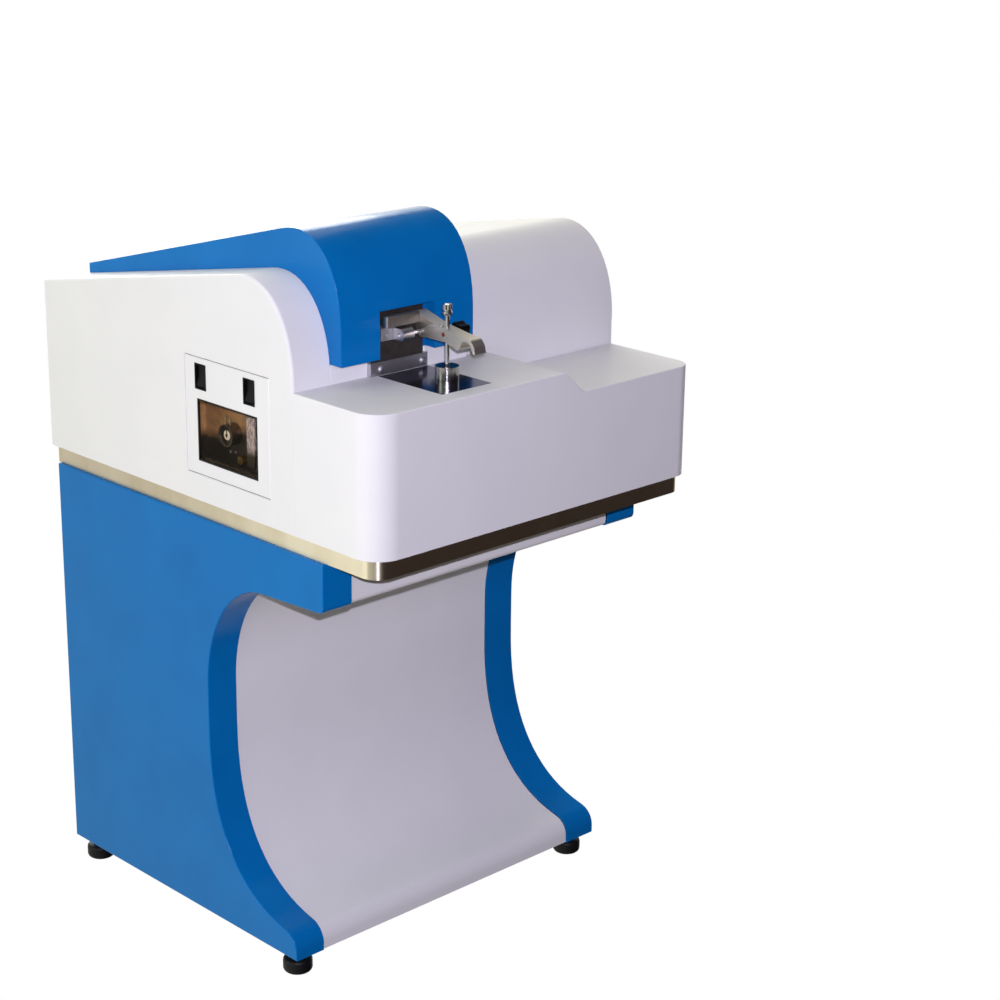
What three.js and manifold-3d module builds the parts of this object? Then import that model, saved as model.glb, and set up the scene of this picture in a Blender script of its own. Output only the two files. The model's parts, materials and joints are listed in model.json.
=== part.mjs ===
// Optical emission spectrometer on its own stand. Millimetres, +Z up, front towards -Y.
// Places are measured from the left front corner of the floor area: x to the right, y to the back.
// The group at the end moves the origin to the middle of that area, on the floor.
import * as THREE from 'three';
import { mergeVertices } from 'three/addons/utils/BufferGeometryUtils.js';
import Module from 'manifold-3d';

const wasm = await Module();
wasm.setup();

// Shared sizes
const width = 655;
const depth = 790;
const gap = 0.3; // clearance between neighbouring pieces
const overrun = 4; // how far a cutter runs past what it cuts
const sheet = 1.5; // steel sheet of casings and covers
const roundSteps = 24; // faces round a full turn of a small round piece
const bendSteps = 5; // faces along a small bend

// Stand
const footHeight = 41; // floor to underside of the stand
const standTop = 702.7;
const standBackSetback = 14;
const leftCasingWide = 54.5;
const rightCasingWide = 62.5;
const armFront = 114;
const armDrop = 75.7; // top to underside at the arm's front end
const noseRadius = 10; // bend at the front end of the arm's underside
const armRise = 7; // the underside climbs down this much before it bends
const throatBack = 391;
const throatUpperY = 250;
const throatUpperZ = 430;
const throatLowerY = 138.6;
const throatLowerZ = 368;
const throatUpperPower = 2;
const throatLowerPower = 2.5;
const throatFloorZ = 79.4; // level the lower bend runs out to
const toeFront = 186;
const toeShoulder = 78.5;
const toeRadius = 31;
const toeSteps = 8;
const toeRunSteps = 4; // steps of the lower bend that the toe takes the place of
const throatSteps = 22;
const panelRecess = 2.5; // the hollow front sheet behind the casings' edges
const apronRecess = 4;
const apronLip = 16;
const apronBend = 9;
const apronTopLip = 32;
const louvreCount = 9;
const louvreWide = 130;
const louvreHigh = 5;
const louvrePitch = 16;
const louvreLowest = 470;

// Levelling feet
const footFrontY = 224;
const footBackInset = 38;
const leftFootX = 33;
const rightFootInset = 24;
const padRadius = 23.2;
const padHigh = 24;
const padEdge = 7;
const padTopEdge = 6;
const collarRadius = 13.5;
const collarHigh = 4;
const nutAcross = 24;
const nutHigh = 8;
const studRadius = 6;
const studLong = 64;

// Board and its steel edge band
const boardThick = 27.2;
const bandInset = 6; // behind the housing's faces
const bandBackInset = 4;
const bandCorner = 30;
const bandBackCorner = 6;

// Side shells of the housing
const shellWide = 69; // left shell, up to the hood
const shellFront = 174.4;
const shellBackRise = 272.5; // levels of the roof line above the board
const shellCrestY = 300;
const shellCrestRise = 361;
const shellCurveRise = 216;
const shellPower = 2.1;
const shellSteps = 16;

// Hood
const hoodWide = 257;
const hoodFront = 151;
const hoodBackInset = 24; // from the back of the whole
const hoodRise = 29; // deck to the lower edge of the hood
const hoodBackHigh = 52.5; // levels of the roof line above the lower edge
const hoodCrestY = 283;
const hoodHigh = 180;
const hoodCurveHigh = 41;
const hoodPower = 2.2;
const notchReach = 74; // from the rod to the left side of the notch
const notchWide = 106;
const notchHigh = 70;
const notchDeep = 22;

// Front cover with its stepped deck
const coverWall = 2;
const coverLeftCorner = 44;
const coverRightCorner = 31;
const cornerSteps = 10;
const deckRise = 211.5; // board to deck
const deckDrop = 35;
const stepSetIn = 43.4; // from the side of the hood
const stepRun = 39;
const stepRadius = 14;

// Control panel, set back in the left shell
const panelFront = 228;
const panelWide = 199;
const panelRise = 40.5;
const panelTall = 182;
const panelGroove = 2;
const panelSetback = 1;
const panelFlange = 8;
const panelThick = 2;
const windowSetIn = 29; // from the front edge of the control panel
const windowWide = 142;
const windowRise = 22;
const windowTall = 96;
const gasketWide = 2.6;
const gasketThick = 4;
const paneThick = 3;

// Rocker switches, the same size twice
const switchWide = 26.5;
const switchHigh = 39.5;
const switchRim = 2.6;
const switchLip = 0.6;
const switchDeep = 13;
const frontSwitchSetIn = 46.5;
const backSwitchSetIn = 161;
const switchRise = 152;
const rockerRecess = 4.3;
const rockerPivotDeep = 3.5;
const rockerEndRoom = 1.9; // for the ends as they swing
const rockerTilt = 6.5 * Math.PI / 180;

// Gas panel behind the window
const bracketFrontMargin = 7; // past the edges of the window
const bracketBackMargin = 38;
const bracketDeep = 46;
const bracketLowMargin = 12;
const bracketTopMargin = 11;
const gaugeSetIn = 107; // from the front and lower edges of the window
const gaugeRise = 41;
const gaugeRadius = 17;
const gaugeRim = 1.6;
const gaugeDeep = 19;
const gaugeDish = 3.4;
const needleHub = 2.1;
const needleLong = 12;
const needleWide = 1.4;
const needleThick = 0.8;
const flowSetIn = 49;
const flowWide = 18;
const flowDeep = 17;
const flowRise = 4;
const flowLong = 76;
const flowBore = 4.6;
const flowFloor = 6;
const valveSetIn = 79;
const valveRise = 7;
const valveRadius = 7;
const valveLong = 14;
const valveGrips = 8;

// Sample clamp
const rodSetIn = 147.2; // from the left side of the hood
const rodY = 90;
const armWide = 21.5;
const armReach = 8; // from the rod to the left face of the arm
const pivotY = 136;
const pivotRise = 63.5; // levels of the clamp above the deck
const pivotBoss = 9.2;
const shaftRadius = 3.2;
const shaftCollar = 5.4;
const shaftCollarLong = 3;
const rodRadius = 3.5;
const rodRise = 95.5;
const rodHeadRadius = 7.2;
const rodHeadHigh = 16;
const rodHeadBeads = 12;
const rodBeadHigh = 0.9;
const lockRise = 66.3;
const lockScrewRadius = 2.7;
const lockBossRadius = 7;
const lockBossLong = 2;
const lockKnobRadius = 13;
const lockKnobLong = 18;
const lockLobes = 5;
const lockLobeHigh = 1.6;
const setScrewRadius = 3.2;
const setScrewProud = 0.5;
const armBackY = 150;
const armBackRise = 91;
const armRampFoot = 104;
const armRampRise = 77.5;
const armMidY = 61;
const armMidRise = 71.1;
const hookStartY = 44;
const hookStartRise = 69.2;
const hookShoulderY = 33.2;
const hookShoulderRise = 67.8;
const hookBendY = 26.2;
const hookBendRise = 59.5;
const hookTipY = 24;
const hookTipRise = 48.8;
const hookTipThick = 4.2;
const archY = 43.2;
const archRise = 53.2;
const archRadius = 11.4;
const archFrom = 158 * Math.PI / 180;
const archSteps = 12;
const heelY = 58.5;
const heelRise = 48.2;
const armSoleY = 86.3;
const armSoleRise = 55.9;
const blockReach = 72.5; // from the rod to the left side of the block
const blockWide = 22;
const blockFront = 150;
const blockRise = 55;
const blockHigh = 19;
const earWide = 21.5;
const earSplit = 0.5;
const blockScrewRadius = 2.6;
const blockScrewDeep = 3.5;
const barReach = 70.5;
const barFront = 140;
const barDeep = 11;
const barRise = 76;
const barHigh = 16;
const barEndRadius = 4;
const barWebWide = 50;
const barWebHigh = 8;
const springRadius = 4.3;
const springWire = 0.7;
const springPitch = 2.1;
const springTurns = 4;
const springLeg = 29;
const springLegLean = 72 * Math.PI / 180;
const springSteps = 8;
const springSides = 5;
const backPlateThick = 5;
const backPlateReach = 22.5;
const mountPlateReach = 79;
const mountPlateWide = 111;
const mountPlateThick = 8.2;
const mountPlateHigh = 20;
const leftScrewInset = 20.5;
const rightScrewInset = 9.5;
const mountScrewUp = 8.7;
const mountScrewRadius = 6;
const mountScrewHigh = 3.2;
const mountScrewDomeShare = 0.55;
const fasciaPadThick = 9.4; // raised part of the fascia beside the plate

// Spark stand and sample
const sampleRadius = 17.5;
const sampleHigh = 19.7;
const tableReach = 64.5;
const tableWide = 97;
const tableFront = 31;
const tableThick = 6;
const apertureRadius = 6;
const sparkBodyInset = 8; // stand body inside the plate's edges
const sparkBodyHigh = 56;
const sparkLegThick = 12;
const chamberBore = 16;
const chamberBoreDeep = 31;
const electrodeRadius = 3;
const electrodeTaper = 4;
const electrodeTail = 14;
const sparkGap = 3.4;
const insulatorWall = 3.6;
const insulatorStand = 7;
const lightPort = 6;
const lightTubeWall = 3;
const lightDrop = 19; // light path below the deck

// Optics in the housing
const chamberSetIn = 90; // from the left and right sides of the whole
const chamberRightSetIn = 35;
const chamberFront = 200;
const rearSpace = 110; // from the chamber to the rear panel's face
const chamberHigh = 228;
const chamberWall = 10;
const gratingWide = 60;
const gratingHigh = 60;
const gratingThick = 12;
const gratingSag = 3;
const gratingSetback = 96; // from the chamber's back face
const gratingSteps = 8;
const gratingMountThick = 22;
const gratingMountMargin = 8;
const gratingFoot = 45;
const focalSideRoom = 35; // from the arc to the inner faces of the chamber
const focalFrontRoom = 15;
const focalRadius = 175;
const focalThick = 14;
const focalFrom = -135 * Math.PI / 180;
const focalTo = -32 * Math.PI / 180;
const focalSteps = 14;
const focalHigh = 205;
const sourceSetIn = 10; // from the left face of the chamber
const sourceWide = 100;
const sourceGap = 9;
const sourceDeep = 74;
const sourceHigh = 150;

// Rear panel, fan and inlets
const fanAlong = 180.7; // from the left side of the hood
const fanUp = 150; // above the board
const fanSize = 92;
const fanDeep = 25;
const fanBore = 42;
const fanMotorRadius = 19;
const fanMotorLong = 7;
const fanStrutWide = 5;
const fanHubRadius = 18;
const fanHubLong = 10;
const fanBladeTip = 39;
const fanBladeCount = 7;
const fanBladeThick = 1.6;
const fanBladeDeep = 12;
const fanBladePitch = 0.6;
const guardRings = 3;
const guardSlot = 7;
const guardBar = 3;
const inletAlong = 55.7;
const inletUp = 60;
const inletWide = 48;
const inletHigh = 28;
const inletFlange = 4;
const inletFlangeThick = 2.5;
const inletDeep = 22;
const socketWide = 24;
const socketHigh = 16.5;
const socketDeep = 17;
const pinWide = 2;
const pinHigh = 4;
const pinPitch = 7;
const argonAlong = 220.7;
const argonUp = 50;
const argonBore = 3;
const argonNipple = 5;
const argonHexAcross = 17;
const argonHexLong = 7;
const argonInside = 10;
const argonOutside = 20;

// Vacuum pump in the stand
const pumpX = 280;
const pumpBackRoom = 20; // from the motor to the back of the stand
const pumpDeep = 120;
const pumpWide = 150;
const pumpHigh = 150;
const motorRadius = 58;
const motorLong = 160;
const motorFins = 12;
const motorFinHigh = 4;
const hoseRadius = 16;
const hoseSetback = 30; // from the back of the pump
const hoseBore = 12;

// Derived levels
const boardLow = standTop + gap;
const boardHigh = boardLow + boardThick;
const base = boardHigh + gap;
const deckTop = base + deckRise;
const lowDeckTop = deckTop - deckDrop;
const shellBackTop = base + shellBackRise;
const shellCrestZ = base + shellCrestRise;
const shellCurveFoot = base + shellCurveRise;
const hoodBase = deckTop + hoodRise;
const hoodBackTop = hoodBase + hoodBackHigh;
const hoodCrestZ = hoodBase + hoodHigh;
const hoodCurveFoot = hoodBase + hoodCurveHigh;
const notchTop = hoodBase + notchHigh;
const floorPlateTop = footHeight + sheet;
const armUnder = standTop - armDrop;

// Derived places of the stand and of the housing
const standBack = depth - standBackSetback;
const footBackY = depth - footBackInset;
const rightFootX = width - rightFootInset;
const pumpFront = standBack - pumpBackRoom - motorLong - pumpDeep;
const hoseY = pumpFront + pumpDeep - hoseSetback;
const hoodBack = depth - hoodBackInset;
const hoodLeft = shellWide + gap;
const hoodRight = hoodLeft + hoodWide;
const rightShellLeft = hoodRight + gap;
const coverBack = shellFront - gap;
const stepStart = rightShellLeft + stepSetIn;
const stepEnd = stepStart + stepRun;

// Derived places of the control panel and of the gas panel
const panelBack = panelFront + panelWide;
const panelLow = base + panelRise;
const panelHigh = panelLow + panelTall;
const windowFront = panelFront + windowSetIn;
const windowBack = windowFront + windowWide;
const windowLow = panelLow + windowRise;
const windowHigh = windowLow + windowTall;
const switchFrontY = panelFront + frontSwitchSetIn;
const switchBackY = panelFront + backSwitchSetIn;
const switchMidZ = panelLow + switchRise;
const bracketFront = windowFront - bracketFrontMargin;
const bracketBack = windowBack + bracketBackMargin;
const bracketLow = windowLow - bracketLowMargin;
const bracketHigh = windowHigh + bracketTopMargin;
const gaugeY = windowFront + gaugeSetIn;
const gaugeZ = windowLow + gaugeRise;
const flowY = windowFront + flowSetIn;
const flowLow = windowLow + flowRise;
const flowHigh = flowLow + flowLong;
const valveY = windowFront + valveSetIn;
const valveZ = windowLow + valveRise;

// Derived places of the clamp and of the spark stand
const rodX = hoodLeft + rodSetIn;
const notchLeft = rodX - notchReach;
const notchRight = notchLeft + notchWide;
const notchBack = hoodFront + notchDeep;
const armLeft = rodX - armReach;
const armRight = armLeft + armWide;
const pivotZ = deckTop + pivotRise;
const lockZ = deckTop + lockRise;
const rodTop = deckTop + rodRise;
const armBackTop = deckTop + armBackRise;
const armSoleZ = deckTop + armSoleRise;
const heelZ = deckTop + heelRise;
const blockLeft = rodX - blockReach;
const blockLow = deckTop + blockRise;
const blockTop = blockLow + blockHigh;
const barLeft = rodX - barReach;
const barLow = deckTop + barRise;
const barTop = barLow + barHigh;
const mountPlateLeft = rodX - mountPlateReach;
const mountPlateRight = mountPlateLeft + mountPlateWide;
const mountPlateFront = coverBack - mountPlateThick;
const mountPlateLow = deckTop + gap;
const mountPlateTop = mountPlateLow + mountPlateHigh;
const backPlateFront = notchBack - sheet - gap - backPlateThick;
const backPlateRight = rodX + backPlateReach;
const tableLeft = rodX - tableReach;
const sampleLow = deckTop + gap;
const sampleTop = sampleLow + sampleHigh;
const rodLow = sampleTop + gap;
const tableLow = deckTop - tableThick;
const sparkTop = tableLow - gap;
const lightZ = deckTop - lightDrop;

// Derived places of the optics and of the rear panel
const chamberLeft = chamberSetIn;
const chamberRight = width - chamberRightSetIn;
const chamberBack = hoodBack - rearSpace;
const gratingY = chamberBack - gratingSetback;
const focalCentreX = chamberRight - chamberWall - focalSideRoom - focalRadius;
const focalCentreY = chamberFront + chamberWall + focalFrontRoom + focalRadius;
const sourceLeft = chamberLeft + sourceSetIn;
const sourceFront = chamberBack + sourceGap;
const fanX = hoodLeft + fanAlong;
const fanZ = base + fanUp;
const inletX = hoodLeft + inletAlong;
const inletZ = base + inletUp;
const argonX = hoodLeft + argonAlong;
const argonZ = base + argonUp;

// Finishes
const finish = (color, roughness, metalness, opacity = 1) => new THREE.MeshStandardMaterial(
  { color, roughness, metalness, opacity, transparent: opacity < 1 });
const bluePaint = finish('#1f7fc6', 0.32, 0);
const whitePaint = finish('#eeeeea', 0.3, 0);
const brushedSteel = finish('#b9b2a6', 0.35, 1);
const polishedSteel = finish('#cfd2d6', 0.08, 1);
const satinSteel = finish('#a9abae', 0.3, 1);
const darkSteel = finish('#3a3836', 0.4, 0.6);
const castAluminium = finish('#c2c2c0', 0.45, 1);
const blackPlastic = finish('#16161a', 0.4, 0);
const blackRubber = finish('#1a1a1a', 0.7, 0);
const smokedAcrylic = finish('#2b2420', 0.05, 0, 0.5);
const clearAcrylic = finish('#dfe8ea', 0.05, 0, 0.4);
const bronzePlate = finish('#7a5d3c', 0.45, 0.4);
const copper = finish('#b5623a', 0.3, 1);
const brass = finish('#b99a52', 0.3, 1);
const ceramic = finish('#efe9dc', 0.5, 0);
const mirrorGlass = finish('#d8dde4', 0.03, 1);
const darkBoard = finish('#4a4540', 0.6, 0);
const greyEnamel = finish('#6d7478', 0.5, 0.2);

const model = new THREE.Group();
model.position.set(-width / 2, -depth / 2, 0);

// Outline helpers: an outline is a list of [u, v] points, anticlockwise
const leftNormal = (from, to) => {
  const length = Math.hypot(to[0] - from[0], to[1] - from[1]);
  return [(from[1] - to[1]) / length, (to[0] - from[0]) / length];
};

function offset(points, distance, closed = true) {
  const count = points.length;
  return points.map((point, i) => {
    const first = !closed && i === 0;
    const last = !closed && i === count - 1;
    const before = first ? null : leftNormal(points[(i - 1 + count) % count], point);
    const after = last ? null : leftNormal(point, points[(i + 1) % count]);
    const a = before ?? after;
    const b = after ?? before;
    const scale = distance / (1 + a[0] * b[0] + a[1] * b[1]);
    return [point[0] + (a[0] + b[0]) * scale, point[1] + (a[1] + b[1]) * scale];
  });
}

// A closed strip between two offsets of an open path
const strip = (path, near, far) => [...offset(path, near, false), ...offset(path, far, false).reverse()];

// Rounds the corner at `corner` between its two neighbours
function roundCorner(before, corner, after, radius, steps) {
  const a = new THREE.Vector2(before[0] - corner[0], before[1] - corner[1]).normalize();
  const b = new THREE.Vector2(after[0] - corner[0], after[1] - corner[1]).normalize();
  const half = Math.acos(a.dot(b)) / 2;
  const reach = radius / Math.tan(half);
  const centre = a.clone().add(b).normalize().multiplyScalar(radius / Math.sin(half));
  const start = a.clone().multiplyScalar(reach).sub(centre);
  const turn = Math.sign(a.cross(b)) * -(Math.PI - 2 * half);
  return Array.from({ length: steps + 1 }, (_, i) => {
    const spoke = start.clone().rotateAround(new THREE.Vector2(), turn * i / steps);
    return [corner[0] + centre.x + spoke.x, corner[1] + centre.y + spoke.y];
  });
}

// radii[i] rounds points[i]; zero leaves it sharp
const rounded = (points, radii, steps) => points.flatMap((point, i) => {
  const count = points.length;
  const before = points[(i - 1 + count) % count];
  const after = points[(i + 1) % count];
  return radii[i] > 0 ? roundCorner(before, point, after, radii[i], steps) : [point];
});

const rectangle = (u0, u1, v0, v1) => [[u0, v0], [u1, v0], [u1, v1], [u0, v1]];

// Quarter of a superellipse from its end at `rise` to its end at `reach`
const bend = (u, v, reach, rise, power, steps) => Array.from({ length: steps + 1 }, (_, i) => {
  const turn = Math.PI / 2 * i / steps;
  return [u + reach * Math.sin(turn) ** (2 / power), v + rise * Math.cos(turn) ** (2 / power)];
});

const ring = (u, v, radius, steps, phase = 0) => Array.from({ length: steps }, (_, i) => {
  const turn = phase + 2 * Math.PI * i / steps;
  return [u + radius * Math.cos(turn), v + radius * Math.sin(turn)];
});

// Solids
function toSolid(geometry) {
  const bare = geometry.clone();
  bare.deleteAttribute('normal');
  bare.deleteAttribute('uv');
  const merged = mergeVertices(bare);
  const position = merged.getAttribute('position');
  const index = merged.getIndex().array;
  const corner = i => new THREE.Vector3().fromBufferAttribute(position, i);
  const faces = [];
  let volume = 0;
  for (let i = 0; i < index.length; i += 3) {
    const [a, b, c] = index.slice(i, i + 3);
    if (a === b || b === c || c === a) continue;
    faces.push([a, b, c]);
    volume += corner(a).dot(corner(b).cross(corner(c)));
  }
  const outward = volume < 0 ? faces.map(([a, b, c]) => [a, c, b]) : faces;
  return new wasm.Manifold(new wasm.Mesh({
    numProp: 3,
    vertProperties: Float32Array.from(position.array),
    triVerts: Uint32Array.from(outward.flat()),
  }));
}

const cut = (solid, ...tools) => tools.reduce((rest, tool) => rest.subtract(tool), solid);
const join = (solid, ...others) => others.reduce((sum, other) => sum.add(other), solid);
const common = (solid, ...others) => others.reduce((rest, other) => rest.intersect(other), solid);

function prism(outline, length, basis, shift) {
  const shape = new THREE.Shape(outline.map(([u, v]) => new THREE.Vector2(u, v)));
  const geometry = new THREE.ExtrudeGeometry(shape, { depth: length, bevelEnabled: false });
  return toSolid(geometry.applyMatrix4(new THREE.Matrix4().makeBasis(...basis)).translate(...shift));
}

const alongX = new THREE.Vector3(1, 0, 0);
const alongY = new THREE.Vector3(0, 1, 0);
const alongZ = new THREE.Vector3(0, 0, 1);
const prismX = (outline, x0, x1) => prism(outline, x1 - x0, [alongY, alongZ, alongX], [x0, 0, 0]);
const prismY = (outline, y0, y1) => prism(
  outline, y1 - y0, [alongX, alongZ, alongY.clone().negate()], [0, y1, 0]);
const prismZ = (outline, z0, z1) => prism(outline, z1 - z0, [alongX, alongY, alongZ], [0, 0, z0]);
const box = (x0, x1, y0, y1, z0, z1) => toSolid(
  new THREE.BoxGeometry(x1 - x0, y1 - y0, z1 - z0)
    .translate((x0 + x1) / 2, (y0 + y1) / 2, (z0 + z1) / 2));

// Turned about an axis: profile points are [radius, place along the axis]
function turned(axis, [u, v], profile, steps = roundSteps) {
  const geometry = new THREE.LatheGeometry(profile.map(point => new THREE.Vector2(...point)), steps);
  if (axis === 'x') geometry.rotateZ(-Math.PI / 2).translate(0, u, v);
  if (axis === 'y') geometry.translate(u, 0, v);
  if (axis === 'z') geometry.rotateX(Math.PI / 2).translate(u, v, 0);
  return toSolid(geometry);
}

const round = (axis, centre, radius, from, to, steps = roundSteps) => turned(
  axis, centre, [[0, from], [radius, from], [radius, to], [0, to]], steps);
const tube = (axis, centre, inner, outer, from, to, steps = roundSteps) => turned(
  axis, centre, [[inner, from], [outer, from], [outer, to], [inner, to], [inner, from]], steps);

function add(name, solid, material) {
  const { vertProperties, triVerts } = solid.getMesh();
  const geometry = new THREE.BufferGeometry();
  geometry.setAttribute('position', new THREE.BufferAttribute(Float32Array.from(vertProperties), 3));
  geometry.setIndex(new THREE.BufferAttribute(Uint32Array.from(triVerts), 1));
  geometry.computeVertexNormals();
  const mesh = new THREE.Mesh(geometry, material);
  mesh.name = name;
  model.add(mesh);
}

// Stand: the line of the hollow front, from `start` under the arm down to the toe
const armSlope = armRise / (throatUpperY - armFront);
const underArm = y => [y, armUnder - armSlope * (y - armFront)];
const armNose = roundCorner([armFront, standTop], [armFront, armUnder], underArm(throatUpperY),
  noseRadius, bendSteps);

function throatLine(start) {
  const upperRise = armUnder - armRise - throatUpperZ;
  const upper = bend(throatUpperY, throatUpperZ, throatBack - throatUpperY, upperRise,
    throatUpperPower, throatSteps);
  const lower = bend(throatLowerY, throatLowerZ, throatBack - throatLowerY,
    throatFloorZ - throatLowerZ, throatLowerPower, throatSteps).slice(toeRunSteps).reverse();
  const toe = roundCorner(lower[lower.length - 1], [toeFront, toeShoulder], [toeFront, footHeight],
    toeRadius, toeSteps);
  return [...start, ...upper, ...lower, ...toe, [toeFront, footHeight]];
}

function sideCasing(name, x0, x1, footX, openToRight) {
  const outline = [[standBack, footHeight], [standBack, standTop], [armFront, standTop],
    ...throatLine(armNose)];
  const inner = offset(outline, sheet);
  const from = openToRight ? x0 + sheet : x0 - overrun;
  const to = openToRight ? x1 + overrun : x1 - sheet;
  const studHoles = [footFrontY, footBackY].map(y => round('z', [footX, y], studRadius + gap,
    footHeight - overrun, footHeight + overrun));
  add(name, cut(prismX(outline, x0, x1), prismX(inner, from, to), ...studHoles), bluePaint);
}

const innerLeft = leftCasingWide + gap;
const innerRight = width - rightCasingWide - gap;

function apron() {
  const front = armFront + apronRecess;
  const outline = rounded([[front, armUnder], [front + apronLip, armUnder],
    [front + apronLip, armUnder + sheet], [front + sheet, armUnder + sheet],
    [front + sheet, standTop - sheet], [front + apronTopLip, standTop - sheet],
    [front + apronTopLip, standTop], [front, standTop]],
  [apronBend, 0, 0, apronBend - sheet, 0, 0, 0, 0], bendSteps);
  add('stand_apron', prismX(outline, innerLeft, innerRight), whitePaint);
}

function hollowFront() {
  const line = throatLine([underArm(armFront + apronRecess + apronLip + gap)]);
  const outline = strip(line, panelRecess, panelRecess + sheet);
  add('stand_front_panel', prismX(outline, innerLeft, innerRight), whitePaint);
}

function backAndFloor() {
  const plateFront = standBack - sheet;
  const columns = [width / 4, width * 3 / 4 - louvreWide / 2 - leftCasingWide / 2];
  const louvres = columns.flatMap(x => Array.from({ length: louvreCount }, (_, i) => box(
    x, x + louvreWide, plateFront - overrun, standBack + overrun,
    louvreLowest + i * louvrePitch, louvreLowest + i * louvrePitch + louvreHigh)));
  const plate = box(innerLeft, innerRight, plateFront, standBack, floorPlateTop + gap, standTop);
  add('stand_back_panel', cut(plate, ...louvres), whitePaint);
  add('stand_floor_plate', box(innerLeft, innerRight, toeFront + panelRecess + sheet + gap, standBack,
    footHeight, floorPlateTop), greyEnamel);
}

function foot(name, x, y) {
  const collarTop = padHigh + collarHigh;
  const edge = bend(padRadius - padEdge, padEdge, padEdge, -padEdge, 2, bendSteps);
  const shoulder = bend(padRadius - padTopEdge, padHigh - padTopEdge, padTopEdge, padTopEdge, 2,
    bendSteps).reverse();
  const pad = turned('z', [x, y], [[0, 0], ...edge, ...shoulder, [collarRadius, padHigh],
    [collarRadius, collarTop], [0, collarTop]]);
  const nut = round('z', [x, y], nutAcross / 2, collarTop - gap, collarTop + nutHigh, 6);
  const stud = round('z', [x, y], studRadius, collarTop, studLong, roundSteps / 2);
  add(name, join(pad, nut, stud), blackRubber);
}

// Board and band: outline of the unit in plan; corner radii run from the front left, anticlockwise
const planOutline = (inset, back, corners) => rounded(
  rectangle(inset, width - inset, inset, back), corners, cornerSteps);

function boardAndBand() {
  const hoseHole = round('z', [pumpX, hoseY], hoseRadius + gap,
    boardLow - overrun, boardHigh + overrun);
  const bandBack = depth - bandBackInset;
  const outer = planOutline(bandInset, bandBack,
    [bandCorner, bandCorner, bandBackCorner, bandBackCorner]);
  const inner = offset(outer, sheet);
  const board = offset(outer, sheet + gap);
  add('table_board', cut(prismZ(board, boardLow, boardHigh), hoseHole), darkBoard);
  add('steel_edge_band', cut(prismZ(outer, boardLow, boardHigh),
    prismZ(inner, boardLow - overrun, boardHigh + overrun)), brushedSteel);
}

// Roof line from the back, up a straight slope to the crest and down the front curve
function roofLine(front, back, backTop, crestY, crestZ, footZ, power) {
  const slopeAt = y => backTop + (crestZ - backTop) * (back - y) / (back - crestY);
  const fall = slopeAt(front) - footZ;
  const curve = Array.from({ length: shellSteps }, (_, i) => {
    const turn = Math.PI / 2 * (i + 1) / shellSteps;
    const y = crestY - (crestY - front) * Math.sin(turn) ** (2 / power);
    return [y, slopeAt(y) - fall * (1 - Math.cos(turn) ** (2 / power))];
  });
  return [[back, backTop], [crestY, crestZ], ...curve];
}

const shellOutline = [[depth, base],
  ...roofLine(shellFront, depth, shellBackTop, shellCrestY, shellCrestZ, shellCurveFoot, shellPower),
  [shellFront, base]];

// A side shell is open below and on its inner side; a short inner wall closes it behind the hood
function sideShell(name, x0, x1, openToRight, ...tools) {
  const inner = offset(shellOutline, sheet);
  const open = openToRight ? [x1 - overrun, x1 + overrun] : [x0 - overrun, x0 + overrun];
  const mouth = common(prismX(inner, ...open),
    box(open[0], open[1], 0, hoodBack - sheet - gap, 0, hoodCrestZ));
  const under = box(x0 + sheet, x1 - sheet, shellFront + sheet, depth - sheet,
    base - overrun, base + overrun);
  const underMouth = box(...open, shellFront + sheet, hoodBack - sheet - gap,
    base - overrun, base + overrun);
  const shell = cut(prismX(shellOutline, x0, x1), prismX(inner, x0 + sheet, x1 - sheet),
    mouth, under, underMouth, ...tools);
  add(name, shell, whitePaint);
}

const hoodOutline = [[hoodBack, hoodBase],
  ...roofLine(hoodFront, hoodBack, hoodBackTop, hoodCrestY, hoodCrestZ, hoodCurveFoot, hoodPower),
  [hoodFront, hoodBase]];

function hood() {
  const skin = cut(prismX(hoodOutline, hoodLeft, hoodRight),
    prismX(offset(hoodOutline, sheet), hoodLeft + sheet, hoodRight - sheet),
    box(hoodLeft + sheet, hoodRight - sheet, hoodFront + sheet, hoodBack - sheet,
      hoodBase - overrun, hoodBase + overrun));
  const recess = box(notchLeft - sheet, notchRight + sheet, hoodFront + sheet / 2, notchBack,
    hoodBase, notchTop + sheet);
  const mouth = box(notchLeft, notchRight, hoodFront - overrun, notchBack - sheet,
    hoodBase - overrun, notchTop);
  add('hood', cut(join(skin, recess), mouth), bluePaint);
}

function frontCover() {
  const deckOutline = inset => {
    const corners = [[inset, base - overrun], [width - inset, base - overrun],
      [width - inset, lowDeckTop - inset], [stepEnd, lowDeckTop - inset],
      [stepStart, deckTop - inset], [inset, deckTop - inset]];
    return rounded(corners, [0, 0, 0, stepRadius, stepRadius, 0], bendSteps);
  };
  const skin = common(prismY(deckOutline(0), 0, coverBack),
    prismZ(planOutline(0, coverBack, [coverLeftCorner, coverRightCorner, 0, 0]),
      base, deckTop + overrun));
  const hollow = common(prismY(deckOutline(coverWall), 0, coverBack + overrun),
    prismZ(planOutline(coverWall, coverBack + overrun,
      [coverLeftCorner - coverWall, coverRightCorner - coverWall, 0, 0]),
    base - overrun, deckTop + overrun));
  const plateHole = box(tableLeft - gap, tableLeft + tableWide + gap, tableFront - gap,
    mountPlateFront, deckTop - coverWall - overrun, deckTop + overrun);
  add('front_cover', cut(skin, hollow, plateHole), whitePaint);
}

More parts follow.
